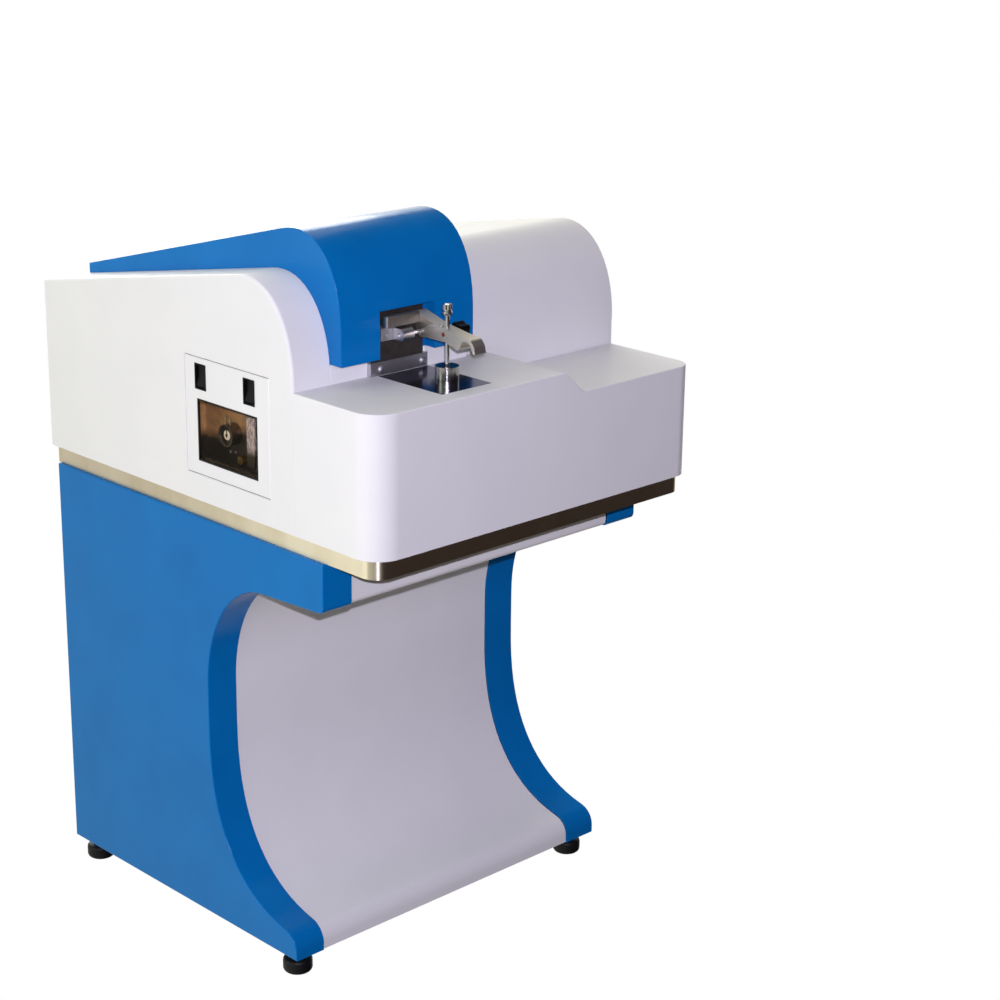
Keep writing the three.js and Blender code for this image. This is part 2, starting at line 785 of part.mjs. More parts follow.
// Closes the space between the shells below the hood, with the light path's hole
function fascia() {
  const plate = box(hoodLeft, hoodRight, shellFront, shellFront + sheet, base, hoodBase - gap);
  const hole = round('y', [rodX, lightZ], lightPort + lightTubeWall + gap,
    shellFront - overrun, shellFront + overrun);
  const pad = box(mountPlateRight + gap, hoodRight, shellFront - fasciaPadThick, shellFront + gap,
    deckTop + gap, hoodBase - gap);
  add('fascia_panel', cut(join(plate, pad), hole), whitePaint);
}

// Control panel
const panelBackFace = panelSetback + (sheet - panelSetback) + gap + panelThick;

function switchBox(y, from, to, grow) {
  return box(from, to, y - switchWide / 2 - grow, y + switchWide / 2 + grow,
    switchMidZ - switchHigh / 2 - grow, switchMidZ + switchHigh / 2 + grow);
}

function controlPanel() {
  const plate = box(panelSetback, panelBackFace, panelFront + panelGroove, panelBack - panelGroove,
    panelLow + panelGroove, panelHigh - panelGroove);
  const flange = box(sheet + gap, panelBackFace, panelFront - panelFlange, panelBack + panelFlange,
    panelLow - panelFlange, panelHigh + panelFlange);
  const windowHole = box(-overrun, panelBackFace + overrun, windowFront, windowBack, windowLow, windowHigh);
  const switchHoles = [switchFrontY, switchBackY].map(
    y => switchBox(y, -overrun, panelBackFace + overrun, gap - switchRim / 2));
  add('control_panel', cut(join(plate, flange), windowHole, ...switchHoles), whitePaint);
}

const windowRim = (shrink, from, to) => box(from, to, windowFront + shrink, windowBack - shrink,
  windowLow + shrink, windowHigh - shrink);

function viewWindow() {
  const gasketBack = panelSetback + gasketThick;
  add('window_gasket', cut(windowRim(gap, panelSetback, gasketBack),
    windowRim(gap + gasketWide, -overrun, gasketBack + overrun)), blackRubber);
  add('window_pane', windowRim(2 * gap + gasketWide, gasketBack - paneThick, gasketBack), smokedAcrylic);
}

// A rocker pivots on the y axis; its upper half is pressed in at rest
function rockerSwitch(prefix, y) {
  const lipBack = panelSetback - gap;
  const lipFront = lipBack - switchLip;
  const body = switchBox(y, lipBack - gap, switchDeep, -switchRim / 2);
  const lip = switchBox(y, lipFront, lipBack, 0);
  const pocket = switchBox(y, -overrun, switchDeep - sheet, -switchRim);
  add(`${prefix}_switch_frame`, cut(join(body, lip), pocket), blackPlastic);
  const half = switchHigh / 2 - switchRim - rockerEndRoom;
  const face = half * Math.tan(2 * rockerTilt);
  const pivotX = rockerRecess + rockerPivotDeep;
  const tail = half / 2;
  const outline = [[rockerRecess, switchMidZ], [rockerRecess - face, switchMidZ - half],
    [rockerRecess, switchMidZ - half], [pivotX, switchMidZ - tail], [pivotX, switchMidZ + tail],
    [rockerRecess + gap, switchMidZ + half], [rockerRecess, switchMidZ + half]];
  const reach = switchWide / 2 - switchRim - gap;
  add(`${prefix}_switch_rocker`, prismY(outline, y - reach, y + reach), blackPlastic);
}

// Gas panel: a folded bracket behind the control panel carries the gauge, flow meter and valve
function gasPanel() {
  const front = panelBackFace + gap;
  const fold = [[front, bracketFront], [bracketDeep, bracketFront], [bracketDeep, bracketBack],
    [front, bracketBack], [front, bracketBack - sheet], [bracketDeep - sheet, bracketBack - sheet],
    [bracketDeep - sheet, bracketFront + sheet], [front, bracketFront + sheet]];
  add('gas_panel_bracket', prismZ(fold, bracketLow, bracketHigh), bronzePlate);
  const seat = bracketDeep - sheet - gap;
  const dial = seat - gaugeDeep;
  add('pressure_gauge', turned('x', [gaugeY, gaugeZ], [[0, seat], [gaugeRadius, seat], [gaugeRadius, dial],
    [gaugeRadius - gaugeRim, dial], [gaugeRadius - gaugeRim, dial + gaugeDish],
    [0, dial + gaugeDish]]), satinSteel);
  const needleBack = dial + gaugeDish - gap;
  const pointer = box(needleBack - needleThick, needleBack, gaugeY - needleWide / 2,
    gaugeY + needleWide / 2, gaugeZ - needleHub * 2, gaugeZ + needleLong);
  const hub = round('x', [gaugeY, gaugeZ], needleHub, needleBack - 2 * needleThick, needleBack,
    roundSteps / 2);
  add('gauge_needle', join(pointer, hub), blackPlastic);
  const boreX = seat - flowDeep / 2;
  const meter = box(seat - flowDeep, seat, flowY - flowWide / 2, flowY + flowWide / 2, flowLow, flowHigh);
  const bore = round('z', [boreX, flowY], flowBore, flowLow + flowFloor, flowHigh + overrun);
  add('flow_meter', cut(meter, bore), clearAcrylic);
  const ball = flowBore - gap;
  add('flow_float', toSolid(new THREE.SphereGeometry(ball, roundSteps / 2, roundSteps / 2)
    .translate(boreX, flowY, flowLow + flowFloor + gap + ball)), polishedSteel);
  const grip = ring(valveY, valveZ, valveRadius, valveGrips * 4).map(([y, z], i) => {
    const share = i % 4 < 2 ? 1 : 1 - gap / 2;
    return [valveY + (y - valveY) * share, valveZ + (z - valveZ) * share];
  });
  add('gas_valve_knob', prismX(grip, seat - valveLong, seat), brass);
}

// Sample clamp
const armOutline = () => {
  const bossBack = ring(pivotY, pivotZ, pivotBoss, roundSteps)
    .filter(([y, z]) => z < pivotZ + gap && (y > pivotY || z < armSoleZ))
    .sort((a, b) => a[0] - b[0]);
  const topLine = [[armRampFoot, armRampRise], [armMidY, armMidRise], [hookStartY, hookStartRise],
    [hookShoulderY, hookShoulderRise], [hookBendY, hookBendRise], [hookTipY, hookTipRise],
    [hookTipY + hookTipThick, hookTipRise]].map(([y, rise]) => [y, deckTop + rise]);
  const arch = Array.from({ length: archSteps + 1 }, (_, i) => {
    const turn = archFrom * (1 - i / archSteps);
    return [archY + archRadius * Math.cos(turn), deckTop + archRise + archRadius * Math.sin(turn)];
  });
  return [[armBackY, armBackTop], ...topLine, ...arch, [heelY, heelZ], [armSoleY, armSoleZ],
    ...bossBack, [armBackY, pivotZ + pivotBoss]];
};

function clampArm() {
  const smooth = armOutline();
  const radii = smooth.map(([y]) => (y < armBackY && y > hookTipY ? hookTipThick * 2 : 0));
  const lowerSide = smooth.findIndex(([, z]) => z === deckTop + hookTipRise);
  radii.fill(0, lowerSide);
  const blank = prismX(rounded(smooth, radii, bendSteps), armLeft, armRight);
  const rodHole = round('z', [rodX, rodY], rodRadius + gap, heelZ - overrun, armBackTop + overrun);
  const shaftHole = round('x', [pivotY, pivotZ], shaftRadius + gap, armLeft - overrun, armRight + overrun);
  const screwHole = round('x', [rodY, lockZ], setScrewRadius + gap, armLeft - overrun, rodX);
  const knobHole = round('x', [rodY, lockZ], lockScrewRadius + gap, rodX, armRight + overrun);
  add('clamp_arm', cut(blank, rodHole, shaftHole, screwHole, knobHole), castAluminium);
}

// The rod's head has a waist between a collar and a beaded crown
function pressRod() {
  const neck = rodTop - rodHeadRadius / 2;
  const headTop = rodTop + rodHeadHigh;
  const waist = rodTop + rodHeadHigh / 3;
  const nip = rodHeadRadius - rodRadius / 3;
  const dome = rodRadius / 2;
  const stem = turned('z', [rodX, rodY], [[0, rodLow], [rodRadius - dome, rodLow],
    [rodRadius, rodLow + dome], [rodRadius, neck], [rodHeadRadius - dome, rodTop],
    [rodHeadRadius, rodTop + dome], [rodHeadRadius, waist - dome], [nip, waist],
    [nip, headTop - dome], [rodRadius, headTop], [0, headTop]]);
  const beads = ring(rodX, rodY, rodHeadRadius, rodHeadBeads * 6).map(([x, y]) => {
    const turn = Math.atan2(y - rodY, x - rodX);
    const share = 1 + rodBeadHigh / rodHeadRadius * (Math.cos(rodHeadBeads * turn) - 1) / 2;
    return [rodX + (x - rodX) * share, rodY + (y - rodY) * share];
  });
  add('press_rod', join(stem, prismZ(beads, waist + dome, headTop - dome)), polishedSteel);
}

function lockKnob() {
  const boreRight = rodX + rodRadius + gap;
  const bossLeft = armRight + gap;
  const knobLeft = bossLeft + lockBossLong;
  const lobes = ring(rodY, lockZ, lockKnobRadius, lockLobes * 8).map(([y, z]) => {
    const turn = Math.atan2(z - lockZ, y - rodY);
    const share = 1 + lockLobeHigh / lockKnobRadius * Math.cos(lockLobes * turn);
    return [rodY + (y - rodY) * share, lockZ + (z - lockZ) * share];
  });
  add('rod_lock_knob', join(round('x', [rodY, lockZ], lockScrewRadius, boreRight, knobLeft),
    round('x', [rodY, lockZ], lockBossRadius, bossLeft, knobLeft + gap),
    prismX(lobes, knobLeft, knobLeft + lockKnobLong)), blackPlastic);
  add('rod_set_screw', round('x', [rodY, lockZ], setScrewRadius, armLeft - setScrewProud,
    rodX - rodRadius - gap), copper);
}

const earLeft = blockLeft + blockWide + earSplit;
const earRight = earLeft + earWide;
const fixingBack = backPlateFront - gap;

function hingeBlock() {
  const block = box(blockLeft, blockLeft + blockWide, blockFront, fixingBack, blockLow, blockTop);
  const ear = join(round('x', [pivotY, pivotZ], pivotBoss, earLeft, earRight),
    box(earLeft, earRight, pivotY, fixingBack, pivotZ - pivotBoss, pivotZ + pivotBoss));
  const tie = box(blockLeft, earRight, fixingBack - (fixingBack - blockFront) / 2, fixingBack,
    blockLow + sheet, pivotZ + pivotBoss - sheet);
  const bore = round('x', [pivotY, pivotZ], shaftRadius + gap, earLeft - earSplit, earRight + overrun);
  const screwSeat = round('y', [blockLeft + blockWide / 2, (blockLow + blockTop) / 2], blockScrewRadius,
    blockFront - overrun, blockFront + blockScrewDeep);
  add('hinge_block', cut(join(block, ear, tie), bore, screwSeat), satinSteel);
}

function pivotShaft() {
  const right = armRight + gap;
  const collarRight = right + shaftCollarLong;
  add('pivot_shaft', turned('x', [pivotY, pivotZ], [[0, earLeft + sheet], [shaftRadius, earLeft + sheet],
    [shaftRadius, right], [shaftCollar, right], [shaftCollar, collarRight], [0, collarRight]]),
  polishedSteel);
}

// A torsion spring: turns about the pivot, then a straight leg along the arm's left face
function torsionSpring() {
  const legX = armLeft - gap - springWire;
  const points = [];
  const count = springTurns * springSteps;
  for (let i = 0; i <= count; i += 1) {
    const left = (count - i) / springSteps;
    const turn = springLegLean - 2 * Math.PI * left;
    points.push(new THREE.Vector3(legX - springPitch * left,
      pivotY + springRadius * Math.cos(turn), pivotZ + springRadius * Math.sin(turn)));
  }
  let least = Infinity;
  points.forEach((point, i) => points.slice(i + springSteps / 2).forEach(other => {
    least = Math.min(least, point.distanceTo(other) - 2 * springWire);
  }));
  console.log(`torsion spring: least gap to itself ${least.toFixed(2)} mm`);
  const end = points[count];
  points.push(new THREE.Vector3(legX, end.y - springLeg * Math.sin(springLegLean),
    end.z + springLeg * Math.cos(springLegLean)));
  add('torsion_spring', wireAlong(points, springWire, springSides), polishedSteel);
}

// One unbroken wire through the points, closed at both ends
function wireAlong(points, radius, sides) {
  const corners = [];
  points.forEach((point, i) => {
    const before = points[Math.max(i - 1, 0)];
    const after = points[Math.min(i + 1, points.length - 1)];
    const along = after.clone().sub(before).normalize();
    const across = alongX.clone().addScaledVector(along, -alongX.dot(along)).normalize();
    const up = along.clone().cross(across);
    ring(0, 0, radius, sides).forEach(([u, v]) => corners.push(
      point.clone().addScaledVector(across, u).addScaledVector(up, v)));
  });
  const faces = [];
  for (let i = 0; i < points.length - 1; i += 1) {
    for (let j = 0; j < sides; j += 1) {
      const a = i * sides + j;
      const b = i * sides + (j + 1) % sides;
      faces.push(a, b, b + sides, a, b + sides, a + sides);
    }
  }
  const last = (points.length - 1) * sides;
  for (let j = 1; j < sides - 1; j += 1) {
    faces.push(0, j + 1, j, last, last + j, last + j + 1);
  }
  const geometry = new THREE.BufferGeometry().setFromPoints(corners);
  geometry.setIndex(faces);
  return toSolid(geometry);
}

function crossbar() {
  const right = armLeft - gap;
  const bar = rounded(rectangle(barLeft, right, barFront, barFront + barDeep),
    [barEndRadius, 0, 0, barEndRadius], bendSteps);
  const webLeft = (barLeft + right - barWebWide) / 2;
  const web = box(webLeft, webLeft + barWebWide, barFront + barDeep - gap, fixingBack,
    barLow + gap, barLow + barWebHigh);
  add('clamp_crossbar', join(prismZ(bar, barLow, barTop), web), castAluminium);
}

function clampMounting() {
  add('clamp_back_plate', box(notchLeft + gap, backPlateRight, backPlateFront,
    backPlateFront + backPlateThick, mountPlateTop + gap, notchTop - gap), darkSteel);
  const screwZ = mountPlateLow + mountScrewUp;
  const face = mountPlateFront - mountScrewHigh;
  const shoulder = mountScrewRadius * mountScrewDomeShare;
  const screws = [mountPlateLeft + leftScrewInset, mountPlateRight - rightScrewInset].map(
    x => turned('y', [x, screwZ], [[0, face], [shoulder, face], [mountScrewRadius, face + mountScrewHigh / 2],
      [mountScrewRadius, mountPlateFront + gap], [0, mountPlateFront + gap]]));
  add('clamp_mount_plate', join(box(mountPlateLeft, mountPlateRight, mountPlateFront, coverBack,
    mountPlateLow, mountPlateTop), ...screws), satinSteel);
}

// Spark stand under the deck: plate, body with the spark chamber, electrode and its insulator
const sparkFloor = sparkTop - sparkBodyHigh;
const sparkBoreFloor = sparkTop - chamberBoreDeep;
const insulatorRadius = electrodeRadius + gap + insulatorWall;

function sparkStand() {
  const tableRight = tableLeft + tableWide;
  const tableBack = mountPlateFront - gap;
  add('spark_plate', cut(box(tableLeft, tableRight, tableFront, tableBack, tableLow, deckTop),
    round('z', [rodX, rodY], apertureRadius, tableLow - overrun, deckTop + overrun)), polishedSteel);
  const left = tableLeft + sparkBodyInset;
  const right = tableRight - sparkBodyInset;
  const front = tableFront + sparkBodyInset;
  const block = box(left, right, front, tableBack, sparkFloor, sparkTop);
  const legs = [left, right - sparkLegThick].map(x => box(x, x + sparkLegThick, front, tableBack,
    base, sparkFloor + gap));
  const chamber = round('z', [rodX, rodY], chamberBore, sparkBoreFloor, sparkTop + overrun);
  const stem = round('z', [rodX, rodY], insulatorRadius + gap, sparkFloor - overrun, sparkTop);
  const port = round('y', [rodX, lightZ], lightPort, rodY, tableBack + overrun);
  add('spark_stand_body', cut(join(block, ...legs), chamber, stem, port), castAluminium);
  const insulatorTop = sparkBoreFloor + insulatorStand;
  add('electrode_insulator', tube('z', [rodX, rodY], electrodeRadius + gap, insulatorRadius,
    sparkFloor, insulatorTop), ceramic);
  const tip = tableLow - sparkGap;
  add('spark_electrode', turned('z', [rodX, rodY], [[0, sparkFloor - electrodeTail],
    [electrodeRadius, sparkFloor - electrodeTail], [electrodeRadius, tip - electrodeTaper], [0, tip]]),
  satinSteel);
  add('light_tube', tube('y', [rodX, lightZ], lightPort, lightPort + lightTubeWall,
    tableBack + gap, chamberFront - gap), darkSteel);
  add('sample_puck', round('z', [rodX, rodY], sampleRadius, sampleLow, sampleTop, 2 * roundSteps),
    satinSteel);
}

// Optical chamber on the board, with its grating and focal plate
function opticsChamber() {
  const top = base + chamberHigh;
  const inFloor = base + chamberWall;
  const body = cut(box(chamberLeft, chamberRight, chamberFront, chamberBack, base, top),
    box(chamberLeft + chamberWall, chamberRight - chamberWall, chamberFront + chamberWall,
      chamberBack - chamberWall, inFloor, top + overrun),
    round('y', [rodX, lightZ], lightPort, chamberFront - overrun, chamberFront + chamberWall + overrun),
    round('z', [pumpX, hoseY], hoseBore, base - overrun, inFloor + overrun));
  add('optics_chamber', body, castAluminium);
  add('optics_chamber_lid', box(chamberLeft, chamberRight, chamberFront, chamberBack, top + gap,
    top + gap + chamberWall), castAluminium);
  const stand = inFloor + gap;
  const mountFront = gratingY + gratingThick + gap;
  const mountTop = lightZ + gratingHigh / 2 - gap;
  const half = gratingWide / 2 + gratingMountMargin;
  add('grating_mount', join(
    box(rodX - half, rodX + half, mountFront, mountFront + gratingMountThick, stand, mountTop),
    box(rodX - half, rodX + half, mountFront - gratingFoot / 2, mountFront + gratingFoot,
      stand, stand + chamberWall)), darkSteel);
  const dish = Array.from({ length: gratingSteps + 1 }, (_, i) => {
    const share = 2 * i / gratingSteps - 1;
    return [rodX + share * gratingWide / 2, gratingY + gratingSag * (1 - share * share)];
  });
  add('grating', prismZ([...dish, [rodX + gratingWide / 2, gratingY + gratingThick],
    [rodX - gratingWide / 2, gratingY + gratingThick]], mountTop - gratingHigh, mountTop - gap),
  mirrorGlass);
  const arc = radius => Array.from({ length: focalSteps + 1 }, (_, i) => {
    const turn = focalFrom + (focalTo - focalFrom) * i / focalSteps;
    return [focalCentreX + radius * Math.cos(turn), focalCentreY + radius * Math.sin(turn)];
  });
  add('focal_plate', prismZ([...arc(focalRadius), ...arc(focalRadius - focalThick).reverse()],
    stand, inFloor + focalHigh), darkSteel);
}

// Rear panel between the shells, with the fan, the power inlet and the argon inlet
function rearPanel() {
  const face = hoodBack;
  const inside = face - sheet;
  const plate = box(hoodLeft, hoodRight, inside, face, base, hoodBase - gap);
  const spokes = [join(
    box(fanX - fanBore, fanX + fanBore, inside - overrun, face + overrun,
      fanZ - guardBar / 2, fanZ + guardBar / 2),
    box(fanX - guardBar / 2, fanX + guardBar / 2, inside - overrun, face + overrun,
      fanZ - fanBore, fanZ + fanBore))];
  const slots = Array.from({ length: guardRings }, (_, i) => {
    const outer = fanBore - i * (guardSlot + guardBar);
    return cut(tube('y', [fanX, fanZ], outer - guardSlot, outer, inside - overrun, face + overrun),
      ...spokes);
  });
  const inletHole = box(inletX - inletWide / 2 - gap, inletX + inletWide / 2 + gap,
    inside - overrun, face + overrun, inletZ - inletHigh / 2 - gap, inletZ + inletHigh / 2 + gap);
  const argonHole = round('y', [argonX, argonZ], argonNipple + gap, inside - overrun, face + overrun);
  add('rear_panel', cut(plate, ...slots, inletHole, argonHole), whitePaint);
  fan(inside - gap);
  inlets(face, inside);
}

function fan(back) {
  const front = back - fanDeep;
  const half = fanSize / 2;
  const frame = cut(box(fanX - half, fanX + half, front, back, fanZ - half, fanZ + half),
    round('y', [fanX, fanZ], fanBore, front - overrun, back + overrun, 2 * roundSteps));
  const motorFront = back - fanMotorLong;
  const struts = [box(fanX - half, fanX + half, motorFront + sheet, back,
    fanZ - fanStrutWide / 2, fanZ + fanStrutWide / 2),
  box(fanX - fanStrutWide / 2, fanX + fanStrutWide / 2, motorFront + sheet, back,
    fanZ - half, fanZ + half)];
  add('fan_frame', join(frame, round('y', [fanX, fanZ], fanMotorRadius, motorFront, back), ...struts),
    blackPlastic);
  const hubBack = motorFront - gap;
  const hub = round('y', [fanX, fanZ], fanHubRadius, hubBack - fanHubLong, hubBack);
  const middle = hubBack - fanHubLong / 2;
  const blades = Array.from({ length: fanBladeCount }, (_, i) => toSolid(
    new THREE.BoxGeometry(fanBladeTip - fanHubRadius / 2, fanBladeThick, fanBladeDeep)
      .rotateX(fanBladePitch)
      .translate((fanBladeTip + fanHubRadius / 2) / 2, 0, 0)
      .rotateY(2 * Math.PI * i / fanBladeCount)
      .translate(fanX, middle, fanZ)));
  add('fan_rotor', join(hub, ...blades), blackPlastic);
}

function inlets(face, inside) {
  const front = inside - inletDeep;
  const flangeFace = face + gap + inletFlangeThick;
  const body = box(inletX - inletWide / 2, inletX + inletWide / 2, front, face + 2 * gap,
    inletZ - inletHigh / 2, inletZ + inletHigh / 2);
  const flange = box(inletX - inletWide / 2 - inletFlange, inletX + inletWide / 2 + inletFlange,
    face + gap, flangeFace, inletZ - inletHigh / 2 - inletFlange, inletZ + inletHigh / 2 + inletFlange);
  const socket = box(inletX - socketWide / 2, inletX + socketWide / 2, flangeFace - socketDeep,
    flangeFace + overrun, inletZ - socketHigh / 2, inletZ + socketHigh / 2);
  const pins = [-1, 0, 1].map(side => box(inletX + side * pinPitch - pinWide / 2,
    inletX + side * pinPitch + pinWide / 2, flangeFace - socketDeep - sheet, flangeFace - sheet,
    inletZ - pinHigh / 2 + (side === 0 ? pinHigh / 2 : -pinHigh / 4),
    inletZ + pinHigh / 2 + (side === 0 ? pinHigh / 2 : -pinHigh / 4)));
  add('power_inlet', join(cut(join(body, flange), socket), ...pins), blackPlastic);
  const start = inside - argonInside;
  const end = face + argonOutside;
  const nipple = tube('y', [argonX, argonZ], argonBore, argonNipple, start, end);
  const hex = cut(round('y', [argonX, argonZ], argonHexAcross / 2, face + gap, face + gap + argonHexLong, 6),
    round('y', [argonX, argonZ], argonBore, face - overrun, end));
  add('argon_inlet', join(nipple, hex), brass);
}

// Spark source behind the chamber; vacuum pump, motor and hose in the stand
function insideUnits() {
  add('spark_source', box(sourceLeft, sourceLeft + sourceWide, sourceFront, sourceFront + sourceDeep,
    base, base + sourceHigh), greyEnamel);
  const pumpLow = floorPlateTop + gap;
  const pumpTop = pumpLow + pumpHigh;
  const left = pumpX - pumpWide / 2;
  const hosePlace = [pumpX, hoseY];
  const body = box(left, left + pumpWide, pumpFront, pumpFront + pumpDeep, pumpLow, pumpTop);
  const motorZ = pumpLow + motorRadius + motorFinHigh + sheet;
  const motorFront = pumpFront + pumpDeep;
  const finned = ring(pumpX, motorZ, motorRadius, motorFins * 4).map(([x, z], i) => {
    const share = i % 4 < 2 ? 1 : 1 + motorFinHigh / motorRadius;
    return [pumpX + (x - pumpX) * share, motorZ + (z - motorZ) * share];
  });
  const feet = box(pumpX - motorRadius, pumpX + motorRadius, motorFront + motorLong / 4,
    motorFront + motorLong * 3 / 4, pumpLow, motorZ - motorRadius / 2);
  add('vacuum_pump', join(body, prismY(finned, motorFront - gap, motorFront + motorLong), feet), greyEnamel);
  add('vacuum_hose', tube('z', hosePlace, hoseBore, hoseRadius, pumpTop + gap, base - gap), blackRubber);
}

// Assembly
sideCasing('stand_casing_left', 0, leftCasingWide, leftFootX, true);
sideCasing('stand_casing_right', width - rightCasingWide, width, rightFootX, false);
apron();
hollowFront();
backAndFloor();
foot('levelling_foot_front_left', leftFootX, footFrontY);
foot('levelling_foot_front_right', rightFootX, footFrontY);
foot('levelling_foot_back_left', leftFootX, footBackY);
foot('levelling_foot_back_right', rightFootX, footBackY);
boardAndBand();
sideShell('left_shell', 0, shellWide, true,
  box(-overrun, sheet + overrun, panelFront, panelBack, panelLow, panelHigh));
sideShell('right_shell', rightShellLeft, width, false);
hood();
frontCover();
fascia();
controlPanel();
viewWindow();
rockerSwitch('power', switchBackY);
rockerSwitch('pump', switchFrontY);
gasPanel();
clampArm();
pressRod();
lockKnob();
hingeBlock();
pivotShaft();
torsionSpring();
crossbar();
clampMounting();
sparkStand();
opticsChamber();
rearPanel();
insideUnits();

export default model;
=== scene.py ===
import json
import math

import bmesh
import bpy
from mathutils import Matrix, Quaternion, Vector


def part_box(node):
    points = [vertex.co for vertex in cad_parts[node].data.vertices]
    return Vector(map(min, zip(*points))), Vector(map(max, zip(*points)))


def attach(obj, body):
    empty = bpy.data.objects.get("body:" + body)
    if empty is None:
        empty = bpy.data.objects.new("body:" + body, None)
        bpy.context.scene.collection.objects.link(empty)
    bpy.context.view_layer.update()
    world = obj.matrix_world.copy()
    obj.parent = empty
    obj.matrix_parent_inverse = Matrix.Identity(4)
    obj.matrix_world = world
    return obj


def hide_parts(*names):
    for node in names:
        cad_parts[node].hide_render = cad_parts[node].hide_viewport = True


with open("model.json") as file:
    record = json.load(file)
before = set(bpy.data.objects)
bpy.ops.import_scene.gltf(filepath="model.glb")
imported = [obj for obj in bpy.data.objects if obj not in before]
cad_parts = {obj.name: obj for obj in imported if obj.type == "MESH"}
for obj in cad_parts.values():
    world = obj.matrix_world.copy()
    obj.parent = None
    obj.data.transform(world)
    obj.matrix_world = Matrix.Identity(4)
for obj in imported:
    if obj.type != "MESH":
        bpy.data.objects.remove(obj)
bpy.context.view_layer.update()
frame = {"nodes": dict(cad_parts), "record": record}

MM = 0.001
X, Y, Z = Vector((1, 0, 0)), Vector((0, 1, 0)), Vector((0, 0, 1))
NODES = frame["nodes"]
BODY_OF = {n: b for b, names in frame["record"]["behaviour"]["bodies"].items() for n in names}
SLOT_OF = {s["node"]: s["material_slot"] for s in frame["record"]["subparts"]}

# Tolerances of the working meshes: corners that are one in a CAD mesh and in a turned mesh, faces that
# are flat, and corners that lie on a plane
JOIN, TURNED_JOIN, FLAT, TOUCH = 0.01 * MM, 0.001 * MM, math.radians(0.4), 0.02 * MM
# Edges sharper than SHARP are softened, and shading breaks at edges sharper than CREASE
SHARP, CREASE = math.radians(30), math.radians(32)
# The middle of a noise pattern's range, in which a tone or a gloss passes from one end to the other
MIDDLE = (0.3, 0.7)


# Shader trees


def linear(hexcode):
    """sRGB hex to a linear colour with alpha 1."""
    parts = [int(hexcode[i:i + 2], 16) / 255 for i in (1, 3, 5)]
    return tuple(c / 12.92 if c <= 0.04045 else ((c + 0.055) / 1.055) ** 2.4 for c in parts) + (1.0,)


def add_node(tree, kind, inputs=(), **settings):
    """A node with its settings. Its inputs, by name or in order, are values or other nodes' outputs."""
    made = tree.nodes.new(kind)
    for key, value in settings.items():
        setattr(made, key, value)
    for key, value in inputs.items() if isinstance(inputs, dict) else enumerate(inputs):
        if isinstance(value, bpy.types.NodeSocket):
            tree.links.new(value, made.inputs[key])
        else:
            made.inputs[key].default_value = value
    return made


def mottle(tree, size_mm, detail=2.0, stretch=(1, 1, 1), rough=0.5):
    """A pattern of spots about size_mm across, longer along an axis whose stretch is small."""
    place = add_node(tree, "ShaderNodeTexCoord").outputs["Object"]
    scaled = add_node(tree, "ShaderNodeMapping", {"Vector": place, "Scale": stretch}).outputs["Vector"]
    return add_node(tree, "ShaderNodeTexNoise", {
        "Vector": scaled, "Scale": 1 / (size_mm * MM), "Detail": detail, "Roughness": rough}).outputs["Fac"]


def two_tone(tree, pattern, first, second, start=MIDDLE[0], end=MIDDLE[1]):
    """A colour that passes from the first to the second as the pattern rises from start to end.

    A colour mix has its share in socket 0, its colours in 6 and 7, and its result in output 2.
    """
    share = add_node(tree, "ShaderNodeMapRange", (pattern, start, end)).outputs[0]
    first, second = (linear(c) if isinstance(c, str) else c for c in (first, second))
    return add_node(tree, "ShaderNodeMix", {0: share, 6: first, 7: second}, data_type="RGBA").outputs[2]


def new_material(name):
    """An empty material and its node tree."""
    material = bpy.data.materials.new(name)
    material.use_nodes = True
    material.node_tree.nodes.clear()
    return material, material.node_tree


def surface(material, sockets, gloss=None, relief=None, shadow=None):
    """Ends a material in its shader, with its sockets set.

    Gloss is a pattern and the two roughnesses it varies between. Relief is a pattern and its depth
    in mm. Shadow is the colour that shadow rays pass through a clear sheet with.
    """
    tree = material.node_tree
    if gloss:
        pattern, low, high = gloss
        sockets["Roughness"] = add_node(tree, "ShaderNodeMapRange", (pattern, *MIDDLE, low, high)).outputs[0]
    if relief:
        pattern, depth = relief
        sockets["Normal"] = add_node(tree, "ShaderNodeBump", {
            "Height": pattern, "Distance": depth * MM}).outputs["Normal"]
    shown = add_node(tree, "ShaderNodeBsdfPrincipled", sockets).outputs[0]
    if shadow:
        rays = add_node(tree, "ShaderNodeLightPath").outputs["Is Shadow Ray"]
        through = add_node(tree, "ShaderNodeBsdfTransparent", (linear(shadow),)).outputs[0]
        shown = add_node(tree, "ShaderNodeMixShader", (rays, shown, through)).outputs[0]
    add_node(tree, "ShaderNodeOutputMaterial", (shown,))
    return material


# Finishes of whole families of pieces


def powder_coat(name, light, dark, roughness, specular=0.5, peel_mm=3.0, peel_depth=0.0008, coat=0.0):
    """Stoved paint on sheet steel: an even colour, faintly clouded, with a fine orange peel.

    The waves of the peel are 1 to 3 mm long on real sheets and are drawn at that size. Hammered
    enamel is the same with deeper and wider dimples.
    """
    glossy, dull = roughness - 0.04, roughness + 0.05
    material, tree = new_material(name)
    return surface(material, {
        "Base Color": two_tone(tree, mottle(tree, size_mm=90, detail=3), light, dark),
        "Specular IOR Level": specular, "Coat Weight": coat, "Coat Roughness": 0.12},
        gloss=(mottle(tree, size_mm=30, detail=3), glossy, dull),
        relief=(mottle(tree, peel_mm), peel_depth))


# How the marks on a metal run: a small number draws them out along that axis
EVEN, ROUND, UPRIGHT = (1, 1, 1), (0.2, 0.2, 1.0), (1.0, 1.0, 0.02)
ALONG_X, ALONG_Y, RULED = (0.2, 1.0, 1.0), (1.0, 0.2, 1.0), (1, 0.02, 0.02)


